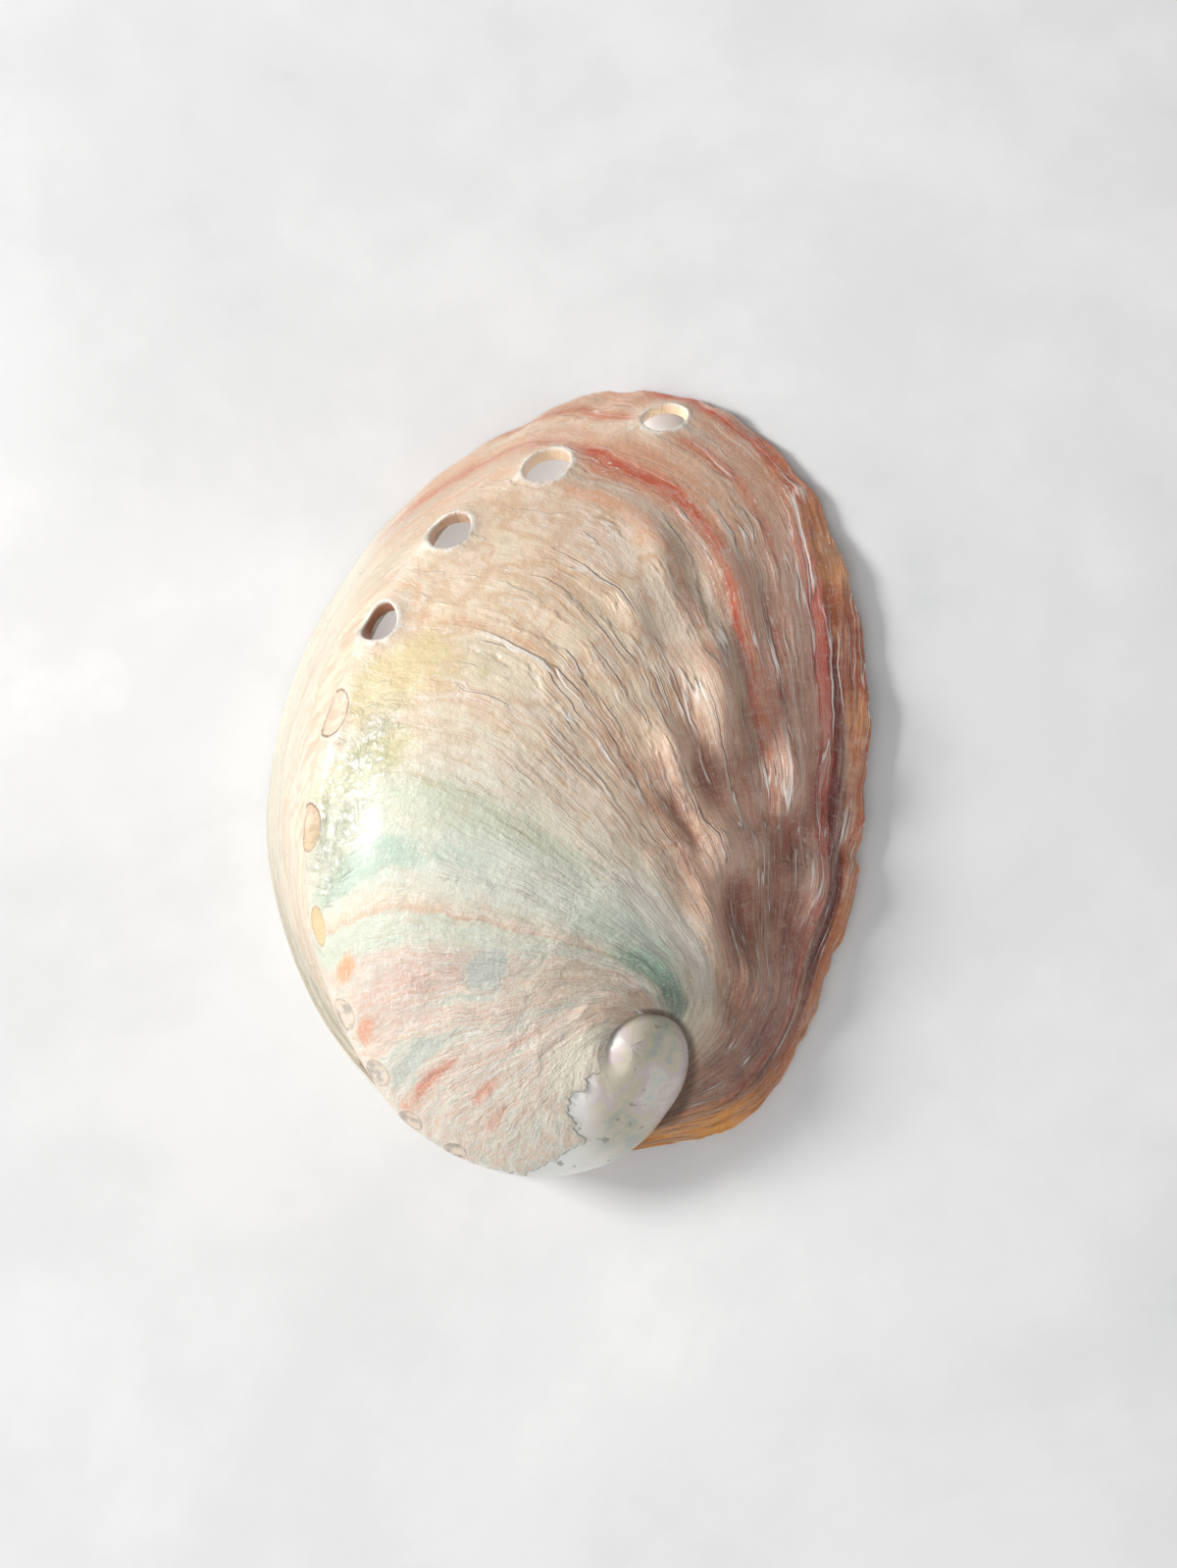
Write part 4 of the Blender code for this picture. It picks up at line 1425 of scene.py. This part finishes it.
def soft_light(name, place, aim, size, power, colour):
    data = bpy.data.lights.new(name, "AREA")
    data.shape = "RECTANGLE"
    data.size = size[0]
    data.size_y = size[1]
    data.energy = power
    data.color = colour
    lamp = bpy.data.objects.new(name, data)
    bpy.context.collection.objects.link(lamp)
    lamp.location = place
    direction = np.array(aim) - np.array(place)
    flat = math.hypot(direction[0], direction[1])
    tilt = math.atan2(flat, -direction[2])
    turn = math.atan2(direction[1], direction[0]) - math.pi / 2
    lamp.rotation_euler = (tilt, 0.0, turn)
    return lamp


soft_light("window", (-0.80, 0.20, 0.56), (0.0, 0.0, 0.0), (0.26, 0.26), 8.6, (1.0, 0.99, 0.975))
soft_light("sky", (-0.12, -0.62, 1.05), (0.0, 0.0, 0.0), (1.1, 1.1), 4.2, (1.0, 1.0, 1.0))

# Light that comes through the thin wall, and would else be missing in the hollow
for name, place, aim, size, power in (
    ("light_through_shell", (-0.006, 0.010, 0.0115), (-0.006, 0.010, 0.0), (0.026, 0.040), 0.0016),
    ("light_below_pores", (-0.0035, 0.0285, 0.0030), (-0.0095, 0.0355, 0.0), (0.040, 0.005), 0.0017),
    ("light_below_first_pore", (0.0075, 0.0425, 0.0032), (0.0115, 0.0465, 0.0), (0.007, 0.004), 0.0003),
):
    glow = soft_light(name, place, aim, size, power, (1.0, 0.97, 0.93))
    glow.visible_camera = False
    glow.visible_glossy = False

world = bpy.data.worlds.new("room")
world.use_nodes = True
world.node_tree.nodes["Background"].inputs[0].default_value = (1.0, 1.0, 1.0, 1.0)
world.node_tree.nodes["Background"].inputs[1].default_value = 0.31
bpy.context.scene.world = world
bpy.context.scene.view_settings.view_transform = "Standard"

# Size of a pixel of the photograph, its middle, and the pixel of the origin
PIXEL = 0.0001255
PHOTO_WIDTH = 1200.0
PHOTO_MIDDLE = (600.0, 799.0)
ORIGIN_PIXEL = (577.0, 798.0)
CAMERA_HEIGHT = 0.65
camera_data = bpy.data.cameras.new("camera")
camera_data.sensor_fit = "HORIZONTAL"
camera_data.sensor_width = 36.0
camera_data.lens = camera_data.sensor_width * CAMERA_HEIGHT / (PHOTO_WIDTH * PIXEL)
camera_data.clip_end = 10.0
camera = bpy.data.objects.new("camera", camera_data)
bpy.context.collection.objects.link(camera)
across = (PHOTO_MIDDLE[0] - ORIGIN_PIXEL[0]) * PIXEL
along = (ORIGIN_PIXEL[1] - PHOTO_MIDDLE[1]) * PIXEL
camera.location = (across, along, CAMERA_HEIGHT)
bpy.context.scene.camera = camera
